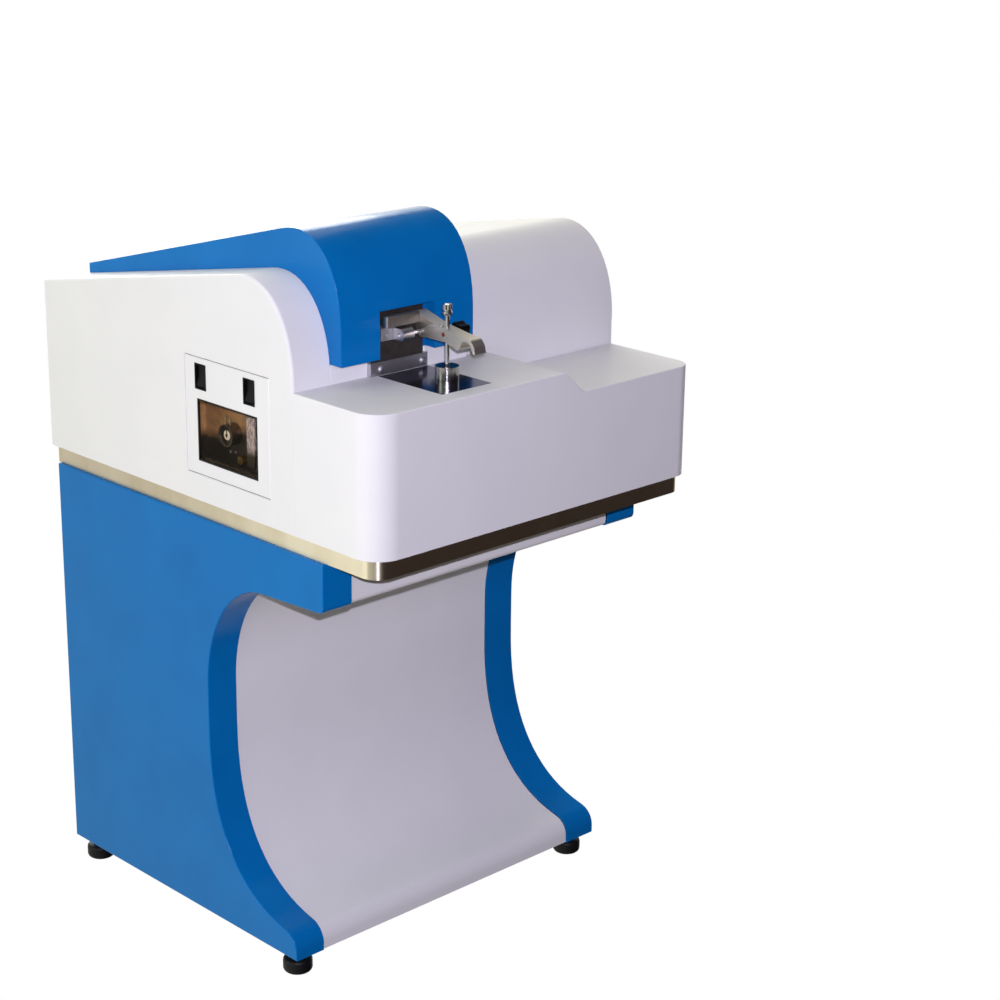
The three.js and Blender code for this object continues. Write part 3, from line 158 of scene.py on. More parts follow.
def worked_metal(name, light, dark, roughness, grain_mm, marks=EVEN, depth=0.004, vary=0.1):
    """Turned, ground, brushed or plated metal: its marks shade its colour, its gloss and its surface.

    Real marks are 0.05 to 0.2 mm apart, too fine to show, so they are drawn at grain_mm.
    """
    glossy, dull = roughness - vary / 2, roughness + vary
    material, tree = new_material(name)
    grain = mottle(tree, grain_mm, detail=4, stretch=marks, rough=0.6)
    return surface(material, {"Base Color": two_tone(tree, grain, light, dark), "Metallic": 1.0},
                   gloss=(grain, glossy, dull), relief=(grain, depth))


def moulding(name, light, dark, roughness, texture_mm, depth, specular=0.5):
    """Moulded plastic, rubber, ceramic or board: a matt skin with a slight bloom on it.

    A real mould's texture is 0.1 to 0.3 mm, too fine to show, so it is drawn at texture_mm.
    """
    glossy, dull = roughness - 0.06, roughness + 0.08
    material, tree = new_material(name)
    return surface(material, {
        "Base Color": two_tone(tree, mottle(tree, size_mm=12, detail=3), light, dark),
        "Specular IOR Level": specular},
        gloss=(mottle(tree, size_mm=5, detail=3), glossy, dull),
        relief=(mottle(tree, texture_mm), depth))


# Finishes of single pieces


def edge_band_steel():
    """Stainless sheet brushed along its length: light spreads up and down on it, not sideways.

    Real brushing is about 0.1 mm from line to line and is drawn at 0.7 mm.
    """
    material, tree = new_material("brushed_stainless")
    tone = mottle(tree, size_mm=60, detail=3, stretch=(1, 1, 0.3))
    brushing = mottle(tree, size_mm=0.7, detail=3, stretch=(0.02, 0.02, 1.0), rough=0.6)
    upward = add_node(tree, "ShaderNodeCombineXYZ", (0.0, 0.0, 1.0)).outputs[0]
    return surface(material, {
        "Base Color": two_tone(tree, tone, "#efe6d4", "#e2d6c0"),
        "Metallic": 1.0, "Anisotropic": 0.93, "Tangent": upward}, gloss=(brushing, 0.28, 0.33))


def window_acrylic():
    """Smoked acrylic sheet: a light brown tint that light and shadow pass through.

    Real acrylic has an index of 1.49. The pane mirrors little in the photo, so 1.1 is used.
    """
    material, tree = new_material("smoked_acrylic")
    return surface(material, {
        "Base Color": linear("#e2dace"), "Transmission Weight": 1.0, "IOR": 1.1},
        gloss=(mottle(tree, size_mm=18, detail=3), 0.0, 0.03), shadow="#ece6dc")


def gas_panel_enamel_painted_shade():
    """Bronze enamel of the gas panel: warm brown, with painted shade nearly black in its lower front corner.

    Painted light falls in from above and, in part, from the back, and its edge is a little uneven.
    """
    light_from_back, raggedness = 0.55, 0.25
    material, tree = new_material("bronze_enamel_painted_shade")
    low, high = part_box("window_pane")
    place = add_node(tree, "ShaderNodeTexCoord").outputs["Object"]
    axes = add_node(tree, "ShaderNodeSeparateXYZ", (place,)).outputs
    up = add_node(tree, "ShaderNodeMapRange", (axes["Z"], low.z, high.z)).outputs[0]
    back = add_node(tree, "ShaderNodeMapRange", (axes["Y"], low.y, high.y, 0.0, light_from_back)).outputs[0]
    height = add_node(tree, "ShaderNodeMath", (up, back), operation="ADD").outputs[0]
    painted_light_level = add_node(tree, "ShaderNodeMath", (mottle(tree, size_mm=30, detail=4), raggedness, height),
                      operation="MULTIPLY_ADD").outputs[0]
    warm = two_tone(tree, mottle(tree, size_mm=16, detail=4), "#c0996a", "#93795a")
    # Painted shade and light: the enamel goes nearly black where the painted light level is low
    return surface(material, {
        "Base Color": two_tone(tree, painted_light_level, "#1d1712", warm, start=0.86, end=1.08), "Roughness": 0.4},
        relief=(mottle(tree, size_mm=1.5), 0.02))


def gauge_dial():
    """The gauge's printed dial and dull steel rim: a white middle, a black ring and a grey edge.

    They lie by their distance from the gauge's axis, in mm.
    """
    white_ends, black_starts, black_ends, rim_starts = (r * MM for r in (7.2, 7.6, 15.2, 15.5))
    material, tree = new_material("gauge_dial_and_rim")
    low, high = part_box("pressure_gauge")
    middle = (low + high) / 2
    place = add_node(tree, "ShaderNodeTexCoord").outputs["Object"]
    moved = add_node(tree, "ShaderNodeVectorMath", (place, middle), operation="SUBTRACT").outputs[0]
    flat = add_node(tree, "ShaderNodeVectorMath", (moved, (0, 1, 1)), operation="MULTIPLY").outputs[0]
    away = add_node(tree, "ShaderNodeVectorMath", (flat,), operation="LENGTH").outputs["Value"]
    dial = two_tone(tree, away, "#f2efe6", "#14110f", white_ends, black_starts)
    rim = add_node(tree, "ShaderNodeMapRange", (away, black_ends, rim_starts)).outputs[0]
    return surface(material, {"Base Color": two_tone(tree, rim, dial, "#7d7873", 0, 1), "Metallic": rim},
                   gloss=(mottle(tree, size_mm=5, detail=3), 0.16, 0.24))


def flow_tube_acrylic():
    """Etched acrylic of the flow meter: mottled lilac grey, a little clear, with painted shade darkening its
    foot.
    """
    light_starts, light_full = 18 * MM, 32 * MM
    material, tree = new_material("etched_flow_tube_shaded_foot")
    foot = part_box("flow_meter")[0].z
    place = add_node(tree, "ShaderNodeTexCoord").outputs["Object"]
    height = add_node(tree, "ShaderNodeSeparateXYZ", (place,)).outputs["Z"]
    spots = mottle(tree, size_mm=3.5, detail=4, stretch=(1, 1, 0.45), rough=0.7)
    etching = add_node(tree, "ShaderNodeMapRange", (spots, 0.38, 0.62)).outputs[0]
    # Painted shade: near black brown at the tube's foot, fading out between the two heights above it
    painted_shade_foot = two_tone(tree, etching, "#2e2824", "#1c1815", 0, 1)
    lit_tube = two_tone(tree, etching, "#f4eefa", "#7d7488", 0, 1)
    return surface(material, {
        "Base Color": two_tone(tree, height, painted_shade_foot, lit_tube, foot + light_starts, foot + light_full),
        "Roughness": 0.3, "Transmission Weight": 0.2, "IOR": 1.49}, relief=(etching, 0.15))


def spark_plate_steel():
    """Ground and polished plate: a dark mirror that faint round lapping marks soften.

    Real lapping marks are about 0.2 mm apart and are drawn 5.236 mm apart. A ring pattern of scale
    1 has twenty radians to the metre.
    """
    lapping_mm = 5.236
    material, tree = new_material("polished_table_steel")
    place = add_node(tree, "ShaderNodeTexCoord").outputs["Object"]
    rings = add_node(tree, "ShaderNodeTexWave", {
        "Vector": place, "Scale": math.tau / 20 / (lapping_mm * MM), "Distortion": 6.0, "Detail": 3.0},
        wave_type="RINGS", rings_direction="Z").outputs["Fac"]
    return surface(material, {
        "Base Color": two_tone(tree, mottle(tree, size_mm=20, detail=3), "#5c616c", "#4c525f"),
        "Metallic": 1.0}, gloss=(mottle(tree, size_mm=8, detail=4), 0.13, 0.2), relief=(rings, 0.0008))


# Finishes by slot
MATERIALS = {
    # Blue powder coat of the casings and the hood: an even colour with a shine at a low angle
    "blue_paint": powder_coat("blue_powder_coat", "#0374bd", "#026fb7", roughness=0.17, specular=0.17),
    # White powder coat of the housing and the stand's panels: matt, with shade and hardly a highlight
    "white_paint": powder_coat("white_powder_coat", "#efefee", "#ececec", roughness=0.33, specular=0.06),
    "brushed_steel": edge_band_steel(),
    # Chromed steel of the rod, the shaft and the screws: small reflections, bright beside dark
    "polished_steel": worked_metal("polished_chrome", "#e4e4e6", "#d6d8da", roughness=0.13, grain_mm=3,
                                   depth=0.0005, vary=0.05),
    # Turned steel of the hinge and its mount: a soft grey shine
    "satin_steel": worked_metal("turned_satin_steel", "#cfced0", "#bcbbbf", roughness=0.46, grain_mm=0.8,
                                marks=ROUND, depth=0.0008, vary=0.06),
    # Nickel plate on the cast arm and chamber: a warm and pale satin
    "cast_aluminium": worked_metal("satin_nickel_plate", "#dcd5c8", "#cdc5b8", roughness=0.46, grain_mm=0.8,
                                   marks=ALONG_Y, depth=0.0006, vary=0.06),
    # Matt paint on the steel behind the clamp and in the housing: a brownish black
    "dark_steel": moulding("dark_matt_paint_steel", "#3b3530", "#2c2723", roughness=0.42, texture_mm=0.9,
                           depth=0.02),
    # Moulded ABS of the switches, the knob and the fan: deep black with a faint shine
    "black_plastic": moulding("black_moulded_plastic", "#09090b", "#0e0e11", roughness=0.36,
                              texture_mm=0.7, depth=0.004, specular=0.1),
    # Rubber of the feet, the gasket and the hose: a duller black than the plastic
    "black_rubber": moulding("black_rubber", "#0b0b0e", "#131316", roughness=0.5, texture_mm=1.2,
                             depth=0.01, specular=0.25),
    "smoked_acrylic": window_acrylic(),
    # Bronze enamel of the gas panel, with painted shade over its lower front corner
    "bronze_enamel": gas_panel_enamel_painted_shade(),
    # Turned copper of the small screw in the crossbar: reddish and bright
    "copper": worked_metal("turned_copper", "#c06a44", "#9c4d30", roughness=0.3, grain_mm=0.4),
    # Turned brass of the gas inlet and the valve's knob: yellow and bright
    "brass": worked_metal("turned_brass", "#c9aa5e", "#a98a42", roughness=0.26, grain_mm=0.5),
    # Fired ceramic of the insulator: matt off-white
    "ceramic": moulding("fired_ceramic", "#f1ede2", "#e6dfd0", roughness=0.45, texture_mm=0.6, depth=0.01),
    # Aluminium coating of the ruled grating: a bluish mirror with fine upright lines
    "grating_mirror": worked_metal("ruled_mirror_coating", "#dfe3ea", "#cfd6e2", roughness=0.04,
                                   grain_mm=0.3, marks=RULED, depth=0.0006, vary=0.02),
    # Sealed fibreboard of the table: matt brown
    "board": moulding("sealed_fibreboard", "#5b4a3a", "#47392c", roughness=0.6, texture_mm=1.0, depth=0.03),
    # Hammered enamel of the floor plate, the spark source and the pump: mid grey with dimples
    "grey_enamel": powder_coat("grey_hammered_enamel", "#6f777b", "#646c70", roughness=0.4, peel_mm=6.0,
                               peel_depth=0.06, coat=0.2),
}
# Grey rubber of the seals, which stand for painted shade: a soft dark line above and below the white panel
SHADE_LINE_SEAL = moulding("shade_line_seal_rubber", "#8b8884", "#7a7773", roughness=0.6, texture_mm=1.2, depth=0.01,
                     specular=0.3)
# Finely turned steel of the hinge's ear: brighter than the block that it stands on
HINGE_EAR = worked_metal("fine_turned_steel", "#dcdcdf", "#c2c3c6", roughness=0.32, grain_mm=0.8,
                         marks=ALONG_X, depth=0.0006, vary=0.04)
# Finishes of pieces that don't look like the rest of their slot
OWN_FINISH = {
    # Brushed nickel plate of the crossbar: greyer than the arm
    "clamp_crossbar": worked_metal("brushed_nickel_plate", "#a5a19c", "#96928d", roughness=0.42,
                                   grain_mm=0.8, marks=ALONG_X, depth=0.0006, vary=0.05),
    "spark_plate": spark_plate_steel(),
    "pressure_gauge": gauge_dial(),
    "flow_meter": flow_tube_acrylic(),
    # Ground bar steel of the sample: upright streaks, bright beside grey
    "sample_puck": worked_metal("ground_bar_steel", "#e2dfd8", "#98948c", roughness=0.2, grain_mm=2.2,
                                marks=UPRIGHT, depth=0.002, vary=0.04),
}


# Shapes


def merged_copy(node):
    """The node's mesh with its corners joined and its flat faces whole, as a mesh to work on."""
    mesh = bmesh.new()
    mesh.from_mesh(NODES[node].data)
    bmesh.ops.remove_doubles(mesh, verts=mesh.verts, dist=JOIN)
    bmesh.ops.dissolve_limit(mesh, angle_limit=FLAT, verts=mesh.verts, edges=mesh.edges)
    bmesh.ops.recalc_face_normals(mesh, faces=mesh.faces)
    return mesh


def soften(mesh, radius_mm, steps, chosen=None):
    """Rounds the convex sharp edges, or those of them that chosen() picks."""
    convex = [e for e in mesh.edges if len(e.link_faces) == 2 and e.is_convex]
    edges = [e for e in convex if e.calc_face_angle(0) > SHARP and (chosen is None or chosen(e))]
    if edges:
        bmesh.ops.bevel(mesh, geom=edges, offset=radius_mm * MM, offset_type="OFFSET", segments=steps,
                        profile=0.5, affect="EDGES", clamp_overlap=True)


def finish_mesh(mesh, name, material):
    """Turns the working mesh into an object with smooth faces, sharp creases and even normals."""
    data = bpy.data.meshes.new(name)
    mesh.to_mesh(data)
    mesh.free()
    data.shade_smooth()
    data.set_sharp_from_angle(angle=CREASE)
    made = bpy.data.objects.new(name, data)
    bpy.context.scene.collection.objects.link(made)
    made.data.materials.append(material)
    weighted = made.modifiers.new("even_normals", "WEIGHTED_NORMAL")
    weighted.keep_sharp = True
    weighted.weight = 60
    return made


def carry(piece, body, slot, *nodes):
    """Puts a piece on its body, in place of the nodes, if there are any; its slot is not used."""
    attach(piece, body)
    if nodes:
        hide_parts(*nodes)
    return piece


def dress(node, *passes):
    """Replaces a node by a copy with soft edges, in passes of a radius in mm, steps and any chooser."""
    mesh = merged_copy(node)
    for step in passes:
        soften(mesh, *step)
    material = OWN_FINISH[node] if node in OWN_FINISH else MATERIALS[SLOT_OF[node]]
    return carry(finish_mesh(mesh, f"{node}_soft", material), BODY_OF[node], SLOT_OF[node], node)


def turned_mesh(profile, at, facing, steps=24):
    """A closed mesh turned about its axis from pairs of radius and height in mm, set at a place."""
    mesh = bmesh.new()
    corners = [mesh.verts.new((radius * MM, 0, height * MM)) for radius, height in profile]
    lines = [mesh.edges.new(pair) for pair in zip(corners, corners[1:])]
    bmesh.ops.spin(mesh, geom=corners + lines, axis=Z, cent=(0, 0, 0), steps=steps, angle=math.tau)
    bmesh.ops.remove_doubles(mesh, verts=mesh.verts, dist=TURNED_JOIN)
    bmesh.ops.recalc_face_normals(mesh, faces=mesh.faces)
    turn = Z.rotation_difference(facing).to_matrix().to_4x4()
    bmesh.ops.transform(mesh, matrix=Matrix.Translation(at) @ turn, verts=mesh.verts)
    return mesh


def turned_piece(name, body, profile, at, facing, steps=24):
    """A small turned piece of chromed steel."""
    mesh = turned_mesh(profile, at, facing, steps)
    return carry(finish_mesh(mesh, name, MATERIALS["polished_steel"]), body, "polished_steel")


# Choosers of edges


def on_side(side):
    """Chooses edges that lie in the upright plane at a place along x."""
    return lambda e: all(abs(v.co.x - side) < TOUCH for v in e.verts)


def on_ends(node):
    """Chooses edges on the left or the right end of a node."""
    low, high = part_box(node)
    left, right = on_side(low.x), on_side(high.x)
    return lambda e: left(e) or right(e)


def above(chooser, level):
    """Narrows a chooser to the edges above a level."""
    return lambda e: chooser(e) and min(v.co.z for v in e.verts) > level


def left_face(node):
    """The place along x of the node's left face, and the corners that lie in it."""
    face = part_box(node)[0].x
    return face, [v.co for v in NODES[node].data.vertices if abs(v.co.x - face) < TOUCH]


# The sheet pieces, whose edges are softened by where they lie, to a radius in mm in so many steps


def dress_casings():
    """The stand's casings: a folded sheet's round edge on the outside, a cut edge elsewhere."""
    folded, cut = (2.0, 3), (0.35, 2)
    for node, side in (("stand_casing_left", 0), ("stand_casing_right", 1)):
        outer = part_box(node)[side].x
        dress(node, (*folded, on_side(outer)), cut)


def dress_shells():
    """The housing's shells and the hood: wide round rims, and a narrow one at the panel's opening."""
    rounded, hood_end, hole, cut, hood_cut = (4.8, 5), (3.6, 4), (1.2, 2), (0.4, 2), (0.5, 2)
    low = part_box("left_shell")[0]
    skirt = low.z + 5 * MM
    panel_low, panel_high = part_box("control_panel")

    def opening(e):
        return all(panel_low.y < v.co.y < panel_high.y and panel_low.z < v.co.z < panel_high.z
                   for v in e.verts)

    rim = above(on_side(low.x), skirt)
    dress("left_shell", (*rounded, lambda e: rim(e) and not opening(e)),
          (*hole, lambda e: rim(e) and opening(e)), cut)
    dress("right_shell", (*rounded, above(on_ends("right_shell"), skirt)), cut)
    dress("hood", (*hood_end, on_ends("hood")), hood_cut)


def dress_panel():
    """Rounds the outline of the control panel's plate, which shows as a line of light and shade."""
    rounded, cut = (1.2, 2), (0.3, 2)
    face, front = left_face("control_panel")
    levels = {i: (min(c[i] for c in front), max(c[i] for c in front)) for i in (1, 2)}

    def outline(e):
        return on_side(face)(e) and all(
            any(abs(v.co[i] - level) < TOUCH for i in levels for level in levels[i]) for v in e.verts)

    dress("control_panel", (*rounded, outline), cut)


def dress_cover():
    """The front cover: a round rim between its deck, whose normals rise, and its upright walls."""
    rounded, cut = (1.8, 3), (0.4, 2)
    deck_rise, wall_rise = 0.6, 0.1
    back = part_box("front_cover")[1].y - MM
    plate_low, plate_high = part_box("spark_plate")

    def rim(e):
        """The outer edge between the deck and the walls; not the back edge or the plate's hole."""
        up = max(f.normal.z for f in e.link_faces)
        side = min(abs(f.normal.z) for f in e.link_faces)
        at_back = all(v.co.y > back for v in e.verts)
        at_plate = all(plate_low.x - MM < v.co.x < plate_high.x + MM and v.co.y > plate_low.y - MM
                       for v in e.verts)
        return up > deck_rise and side < wall_rise and not at_back and not at_plate

    dress("front_cover", (*rounded, rim), cut)


# The other pieces, by the radius in mm and the steps of their soft edges
EDGES = (
    (0.4, 2, ("stand_apron", "stand_front_panel", "stand_back_panel", "stand_floor_plate", "fascia_panel",
              "rear_panel", "steel_edge_band")),
    (1.2, 2, ("table_board", "optics_chamber", "optics_chamber_lid", "spark_stand_body", "spark_source",
              "vacuum_pump", "vacuum_hose")),
    (0.25, 2, ("window_gasket", "window_pane", "gas_panel_bracket", "gauge_needle", "flow_float",
               "gas_valve_knob", "grating", "grating_mount", "focal_plate", "light_tube", "argon_inlet")),
    (0.5, 2, ("power_switch_frame", "power_switch_rocker", "pump_switch_frame", "pump_switch_rocker",
              "power_inlet", "fan_frame", "fan_rotor")),
    (0.4, 3, ("clamp_back_plate", "clamp_mount_plate", "pivot_shaft", "torsion_spring", "rod_set_screw",
              "spark_electrode", "electrode_insulator")),
    (1.0, 3, ("clamp_arm", "clamp_crossbar")),
    (0.7, 3, ("rod_lock_knob", "press_rod")),
    (1.4, 3, ("levelling_foot_front_left", "levelling_foot_front_right", "levelling_foot_back_left",
              "levelling_foot_back_right")),
    (0.25, 2, ("spark_plate", "pressure_gauge", "flow_meter", "sample_puck")),
)


def dress_all():
    dress_casings()
    dress_shells()
    dress_panel()
    dress_cover()
    for radius, steps, nodes in EDGES:
        for node in nodes:
            dress(node, (radius, steps))


# Screw rows on the back

# Pan head with a round socket, as pairs of radius and height in mm
PAN_HEAD = [(0, 1.0), (1.4, 1.0), (1.5, 2.0), (2.4, 1.9), (3.2, 1.4), (3.6, 0.7), (3.6, -0.2), (0, -0.2)]
# Panel, inset of its screws from the edge and their pitch, in mm
SCREW_ROWS = (("rear_panel", 9, 60), ("stand_back_panel", 12, 105))
SOCKETS = (("Points", "Geometry"), ("Screw", "Object"), ("Facing", "Vector"), ("Finish", "Material"),
           ("Seed", "Int"))


def screw_tree():
    """Sets a copy of the screw on each point, facing one way, each turned by its own random angle."""
    tree = bpy.data.node_groups.new("screw_rows", "GeometryNodeTree")
    for label, kind in SOCKETS:
        tree.interface.new_socket(label, in_out="INPUT", socket_type=f"NodeSocket{kind}")
    tree.interface.new_socket("Geometry", in_out="OUTPUT", socket_type="NodeSocketGeometry")
    given = add_node(tree, "NodeGroupInput").outputs
    points = add_node(tree, "GeometryNodeMeshToPoints", {"Mesh": given["Points"]}).outputs[0]
    screw = add_node(tree, "GeometryNodeObjectInfo", {"Object": given["Screw"]}).outputs["Geometry"]
    facing = add_node(tree, "FunctionNodeAlignRotationToVector", {"Vector": given["Facing"]}, axis="Z")
    placed = add_node(tree, "GeometryNodeInstanceOnPoints", {
        "Points": points, "Instance": screw, "Rotation": facing.outputs[0]}).outputs[0]
    # A random number has its upper end for plain values in socket 3 and its result in output 1
    angle = add_node(tree, "FunctionNodeRandomValue", {3: math.tau, "Seed": given["Seed"]}).outputs[1]
    twist = add_node(tree, "ShaderNodeCombineXYZ", {"Z": angle})
    turned = add_node(tree, "GeometryNodeRotateInstances", {
        "Instances": placed, "Rotation": twist.outputs[0], "Local Space": True}).outputs[0]
    solid = add_node(tree, "GeometryNodeRealizeInstances", {"Geometry": turned}).outputs[0]
    painted = add_node(tree, "GeometryNodeSetMaterial", {"Geometry": solid, "Material": given["Finish"]})
    add_node(tree, "NodeGroupOutput", (painted.outputs[0],))
    return tree


def rim_points(node, inset_mm, pitch_mm):
    """Points along the four sides of a panel's back face, inset from its edges."""
    low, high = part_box(node)
    inset = inset_mm * MM
    left, right, foot, head = low.x + inset, high.x - inset, low.z + inset, high.z - inset
    across = max(1, round((right - left) / (pitch_mm * MM)))
    rise = max(1, round((head - foot) / (pitch_mm * MM)))
    level = [left + (right - left) * i / across for i in range(across + 1)]
    upright = [foot + (head - foot) * i / rise for i in range(1, rise)]
    places = [(x, z) for x in level for z in (foot, head)]
    places += [(x, z) for z in upright for x in (left, right)]
    return [Vector((x, high.y, z)) for x, z in places]


def screw_rows(name, tree, screw, points, seed):
    """Screw heads on the points, as one piece on the fixed body."""
    data = bpy.data.meshes.new(name)
    data.from_pydata([tuple(point) for point in points], [], [])
    rows = bpy.data.objects.new(name, data)
    bpy.context.scene.collection.objects.link(rows)
    repeat = rows.modifiers.new("screw_rows", "NODES")
    repeat.node_group = tree
    names = {item.name: item.identifier for item in tree.interface.items_tree if item.in_out == "INPUT"}
    repeat[names["Screw"]] = screw
    repeat[names["Facing"]] = tuple(Y)
    repeat[names["Finish"]] = MATERIALS["polished_steel"]
    repeat[names["Seed"]] = seed
    ready = rows.evaluated_get(bpy.context.evaluated_depsgraph_get())
    rows.data = bpy.data.meshes.new_from_object(ready)
    rows.modifiers.clear()
    rows.data.shade_smooth()
    rows.data.set_sharp_from_angle(angle=CREASE)
    return carry(rows, "frame", "polished_steel")


def add_screws():
    """Pan-head screws along the edges of the two panels at the back."""
    screw = finish_mesh(turned_mesh(PAN_HEAD, Vector(), Z), "screw_master", MATERIALS["polished_steel"])
    tree = screw_tree()
    for seed, (node, inset, pitch) in enumerate(SCREW_ROWS):
        screw_rows(f"{node}_screws", tree, screw, rim_points(node, inset, pitch), seed)
    bpy.data.objects.remove(screw)
    bpy.data.node_groups.remove(tree)


# Small pieces of the clamp, the gas panel and the control panel, with sizes in mm


def add_hinge():
    """The hinge block, its bright ear at the right, and the screw in its front."""
    ear_from = 22.3
    screw_right, screw_back, screw_up = 11, 13.5, 64.5
    head = [(0, 1.4), (1.2, 1.4), (1.3, 2.9), (2.0, 2.8), (2.4, 2.3), (2.4, 0), (0, 0)]
    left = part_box("hinge_block")[0].x
    hinge = dress("hinge_block", (0.4, 3))
    hinge.data.materials.append(HINGE_EAR)
    for face in hinge.data.polygons:
        face.material_index = int(face.center.x > left + ear_from * MM)
    bar_front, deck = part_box("clamp_crossbar")[0].y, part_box("spark_plate")[1].z
    at = Vector((left + screw_right * MM, bar_front + screw_back * MM, deck + screw_up * MM))
    turned_piece("hinge_block_screw", BODY_OF["hinge_block"], head, at, -Y)


def add_ball_stop():
    """The ball in the left side of the clamp arm."""
    radius, inward, behind_tip, down = 3.2, 3.4, 73, 13.6
    turns = [math.pi * i / 10 for i in range(11)]
    ball = [(radius * math.sin(turn), -radius * math.cos(turn)) for turn in turns]
    low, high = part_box("clamp_arm")
    at = Vector((low.x + inward * MM, low.y + behind_tip * MM, high.z - down * MM))
    turned_piece("arm_ball_stop", BODY_OF["clamp_arm"], ball, at, Z, 20)


def add_gauge_pipes():
    """Two short pipes that rise from the gauge, each with a collar at its foot and a nut on top."""
    collar, pipe, nut = 1.7, 1.3, 2.2
    inward, sunk = 6, 3
    low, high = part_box("pressure_gauge")
    middle = (low + high) / 2
    for i, (along, long) in enumerate(((-4.5, 11), (5.5, 14))):
        profile = [(0, 0), (collar, 0), (collar, 3), (pipe, 3.6), (pipe, long - 3), (nut, long - 2.6),
                   (nut, long), (0, long)]
        at = Vector((low.x + inward * MM, middle.y + along * MM, high.z - sunk * MM))
        turned_piece(f"gauge_pipe_{i}", "frame", profile, at, Z, 16)


def add_gas_panel_screws():
    """Four dome heads on the gas panel, placed along and up from the gauge's middle."""
    dome = [(0, 2.0), (1.2, 1.7), (2.2, 0.8), (2.4, -0.3), (0, -0.3)]
    sheet = 1.5
    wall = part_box("gas_panel_bracket")[1].x - sheet * MM
    low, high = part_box("pressure_gauge")
    middle = (low + high) / 2
    for i, (along, up) in enumerate(((42, 10), (34, -4), (12, -31), (0, -29))):
        at = Vector((wall, middle.y + along * MM, middle.z + up * MM))
        turned_piece(f"gas_panel_screw_{i}", "frame", dome, at, -X, 16)


def add_shade_line_seals():
    """Two grey rubber strips in the grooves above and below the control panel's plate, put there as painted
    shade lines.
    """
    apart = 0.9 * MM
    section = [(0.8, -0.4), (0.8, 0.4), (0.35, 0.4), (0.15, 0.2), (0.15, -0.2), (0.35, -0.4)]
    face, front = left_face("control_panel")
    near, far = min(c.y for c in front), max(c.y for c in front)
    top, foot = max(c.z for c in front) + apart, min(c.z for c in front) - apart
    for name, middle in (("panel_seal_top", top), ("panel_seal_foot", foot)):
        mesh = bmesh.new()
        ends = [[mesh.verts.new((face + u * MM, y, middle + v * MM)) for u, v in section]
                for y in (near, far)]
        for end in ends:
            mesh.faces.new(end)
        count = len(section)
        for i in range(count):
            j = (i + 1) % count
            mesh.faces.new((ends[0][i], ends[0][j], ends[1][j], ends[1][i]))
        bmesh.ops.recalc_face_normals(mesh, faces=mesh.faces)
        carry(finish_mesh(mesh, name, SHADE_LINE_SEAL), "frame", "black_rubber")


# Camera, lights and surroundings

# The camera as the photo's edges give it: angles in degrees, place in metres, lens and sensor in mm
YAW, PITCH, ROLL = (math.radians(a) for a in (44.51, 17.96, 0.81))
CAMERA_PLACE = Vector((-2.2408, -2.5838, 1.7706))
LENS, SENSOR = 80.66, 36.0
# Name, place, aim, size, power in watts, colour and turn about its own axis in degrees
LIGHTS = (
    ("window_left", (-3.9, 1.7, 1.3), (0, 0, 0.7), (3.2, 2.4), 47, (1.0, 1.04, 0.9), 0),
    ("ceiling", (0.4, 1.2, 3.6), (0, 0, 0.9), (3.0, 3.0), 34, (1.0, 0.95, 0.8), 0),
    ("back_window", (1.3, 3.9, 2.6), (0, 0, 1.1), (3.7, 2.6), 140, (1.0, 0.99, 0.95), 8),
)
# The flash: its power, its colour, and its place from the lens and its size in metres
FLASH_WATTS, FLASH_COLOR = 73, (0.96, 0.905, 1.13)
FLASH_RIGHT, FLASH_UP, FLASH_SIZE = 0.025, 0.092, 0.03
# What lies round the object, as linear colours: its corners from left to right, and the wall behind
ROOM = {"upper_left": (0.33, 0.37, 0.33, 1), "upper_right": (0.05, 0.04, 0.07, 1),
        "lower_left": (0.7, 0.67, 0.58, 1), "lower_right": (0.034, 0.025, 0.016, 1)}
BACK_WALL = (1.3, 1.27, 1.2, 1)
# Where these meet, as parts of a direction: left to right, floor to room, and the wall's side and top
ACROSS, HORIZON, WALL_SIDE, WALL_TOP = (-1.0, 0.7), (-0.04, 0.04), (0.85, 1.15), (0.3, 0.45)


def view_axes():
    """Right, up and ahead of the camera."""
    ahead = Vector((math.sin(YAW) * math.cos(PITCH), math.cos(YAW) * math.cos(PITCH), -math.sin(PITCH)))
    level = Vector((math.cos(YAW), -math.sin(YAW), 0))
    upward = level.cross(ahead)
    right = math.cos(ROLL) * level + math.sin(ROLL) * upward
    up = math.cos(ROLL) * upward - math.sin(ROLL) * level
    return right, up, ahead


def make_camera():
    """The camera that took the photo."""
    right, up, ahead = view_axes()
    lens = bpy.data.cameras.new("photo_view")
    lens.lens = LENS
    lens.sensor_width = SENSOR
    lens.clip_start = 0.1
    lens.clip_end = 50
    camera = bpy.data.objects.new("photo_view", lens)
    bpy.context.scene.collection.objects.link(camera)
    turn = Matrix((right, up, -ahead)).transposed().to_4x4()
    camera.matrix_world = Matrix.Translation(CAMERA_PLACE) @ turn
    bpy.context.scene.camera = camera


def area_light(name, at, aim, size, watts, color, turn=0):
    """A rectangular light at a place, aimed at another, which the camera doesn't see."""
    data = bpy.data.lights.new(name, "AREA")
    data.shape = "RECTANGLE"
    data.size, data.size_y = size
    data.energy = watts
    data.color = color
    light = bpy.data.objects.new(name, data)
    bpy.context.scene.collection.objects.link(light)
    light.location = at
    facing = (Vector(aim) - Vector(at)).to_track_quat("-Z", "Y")
    light.rotation_euler = (facing @ Quaternion((0, 0, 1), math.radians(turn))).to_euler()
    light.visible_camera = False


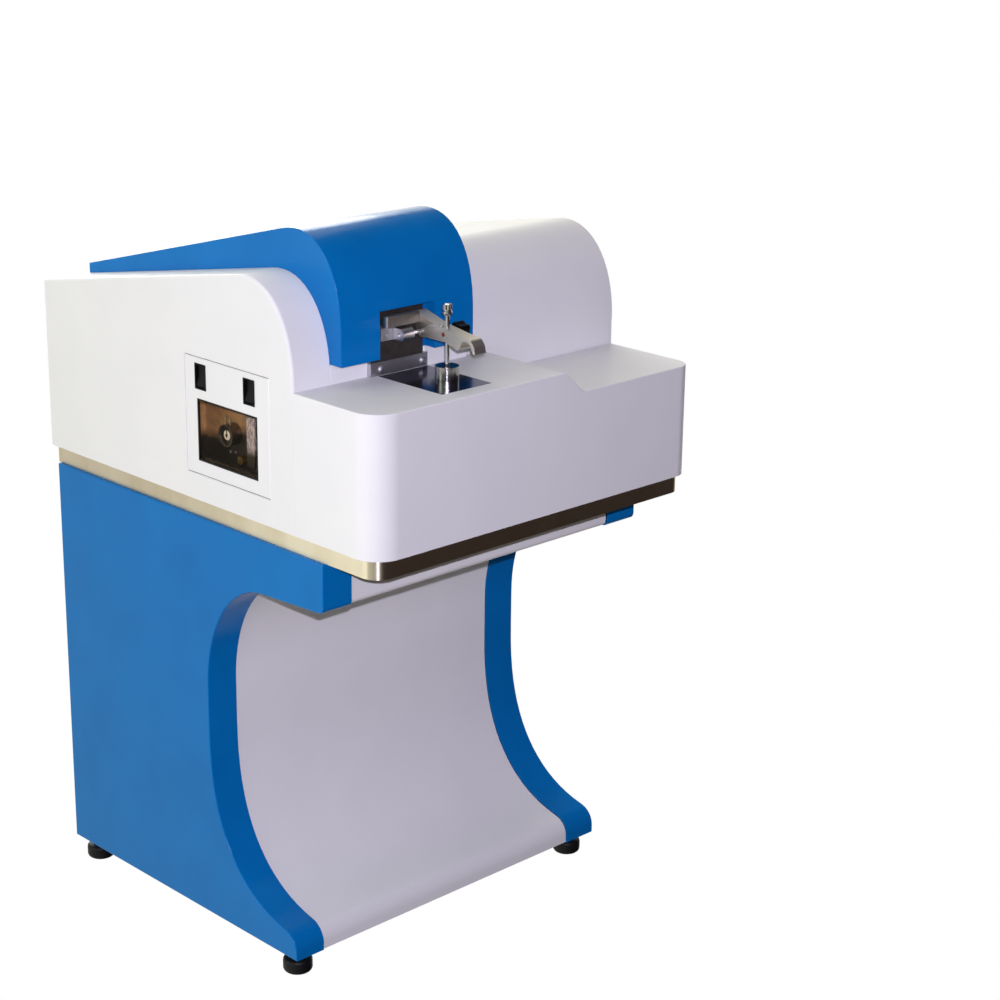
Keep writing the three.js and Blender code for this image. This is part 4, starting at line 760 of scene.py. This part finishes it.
def make_world():
    """A bright room to the left, a dark floor to the right, a pale wall behind; the camera sees white."""
    world = bpy.data.worlds.new("studio")
    bpy.context.scene.world = world
    world.use_nodes = True
    tree = world.node_tree
    tree.nodes.clear()
    direction = add_node(tree, "ShaderNodeTexCoord").outputs["Generated"]
    axes = add_node(tree, "ShaderNodeSeparateXYZ", (direction,)).outputs
    slant = add_node(tree, "ShaderNodeMath", (axes["X"], axes["Y"]), operation="SUBTRACT").outputs[0]
    upper = two_tone(tree, slant, ROOM["upper_left"], ROOM["upper_right"], *ACROSS)
    lower = two_tone(tree, slant, ROOM["lower_left"], ROOM["lower_right"], *ACROSS)
    around = two_tone(tree, axes["Z"], lower, upper, *HORIZON)
    away = add_node(tree, "ShaderNodeMath", (axes["X"], axes["Y"]), operation="ADD").outputs[0]
    behind = add_node(tree, "ShaderNodeMapRange", (away, *WALL_SIDE)).outputs[0]
    below = add_node(tree, "ShaderNodeMapRange", (axes["Z"], *WALL_TOP, 1.0, 0.0)).outputs[0]
    wall = add_node(tree, "ShaderNodeMath", (behind, below), operation="MULTIPLY").outputs[0]
    room = add_node(tree, "ShaderNodeBackground", (two_tone(tree, wall, around, BACK_WALL, 0, 1), 1.0))
    white = add_node(tree, "ShaderNodeBackground", ((1, 1, 1, 1), 1.0))
    camera_ray = add_node(tree, "ShaderNodeLightPath").outputs["Is Camera Ray"]
    seen = add_node(tree, "ShaderNodeMixShader", (camera_ray, room.outputs[0], white.outputs[0]))
    add_node(tree, "ShaderNodeOutputWorld", (seen.outputs[0],))


def make_lights():
    """The lights of the room and the flash, which stands up and to the right of the lens."""
    for light in LIGHTS:
        area_light(*light)
    right, up, ahead = view_axes()
    at = CAMERA_PLACE + right * FLASH_RIGHT + up * FLASH_UP
    area_light("flash", at, at + ahead, (FLASH_SIZE, FLASH_SIZE), FLASH_WATTS, FLASH_COLOR)


dress_all()
add_screws()
add_hinge()
add_ball_stop()
add_gauge_pipes()
add_gas_panel_screws()
add_shade_line_seals()
make_camera()
make_world()
make_lights()

bpy.context.scene.view_settings.view_transform = "Standard"
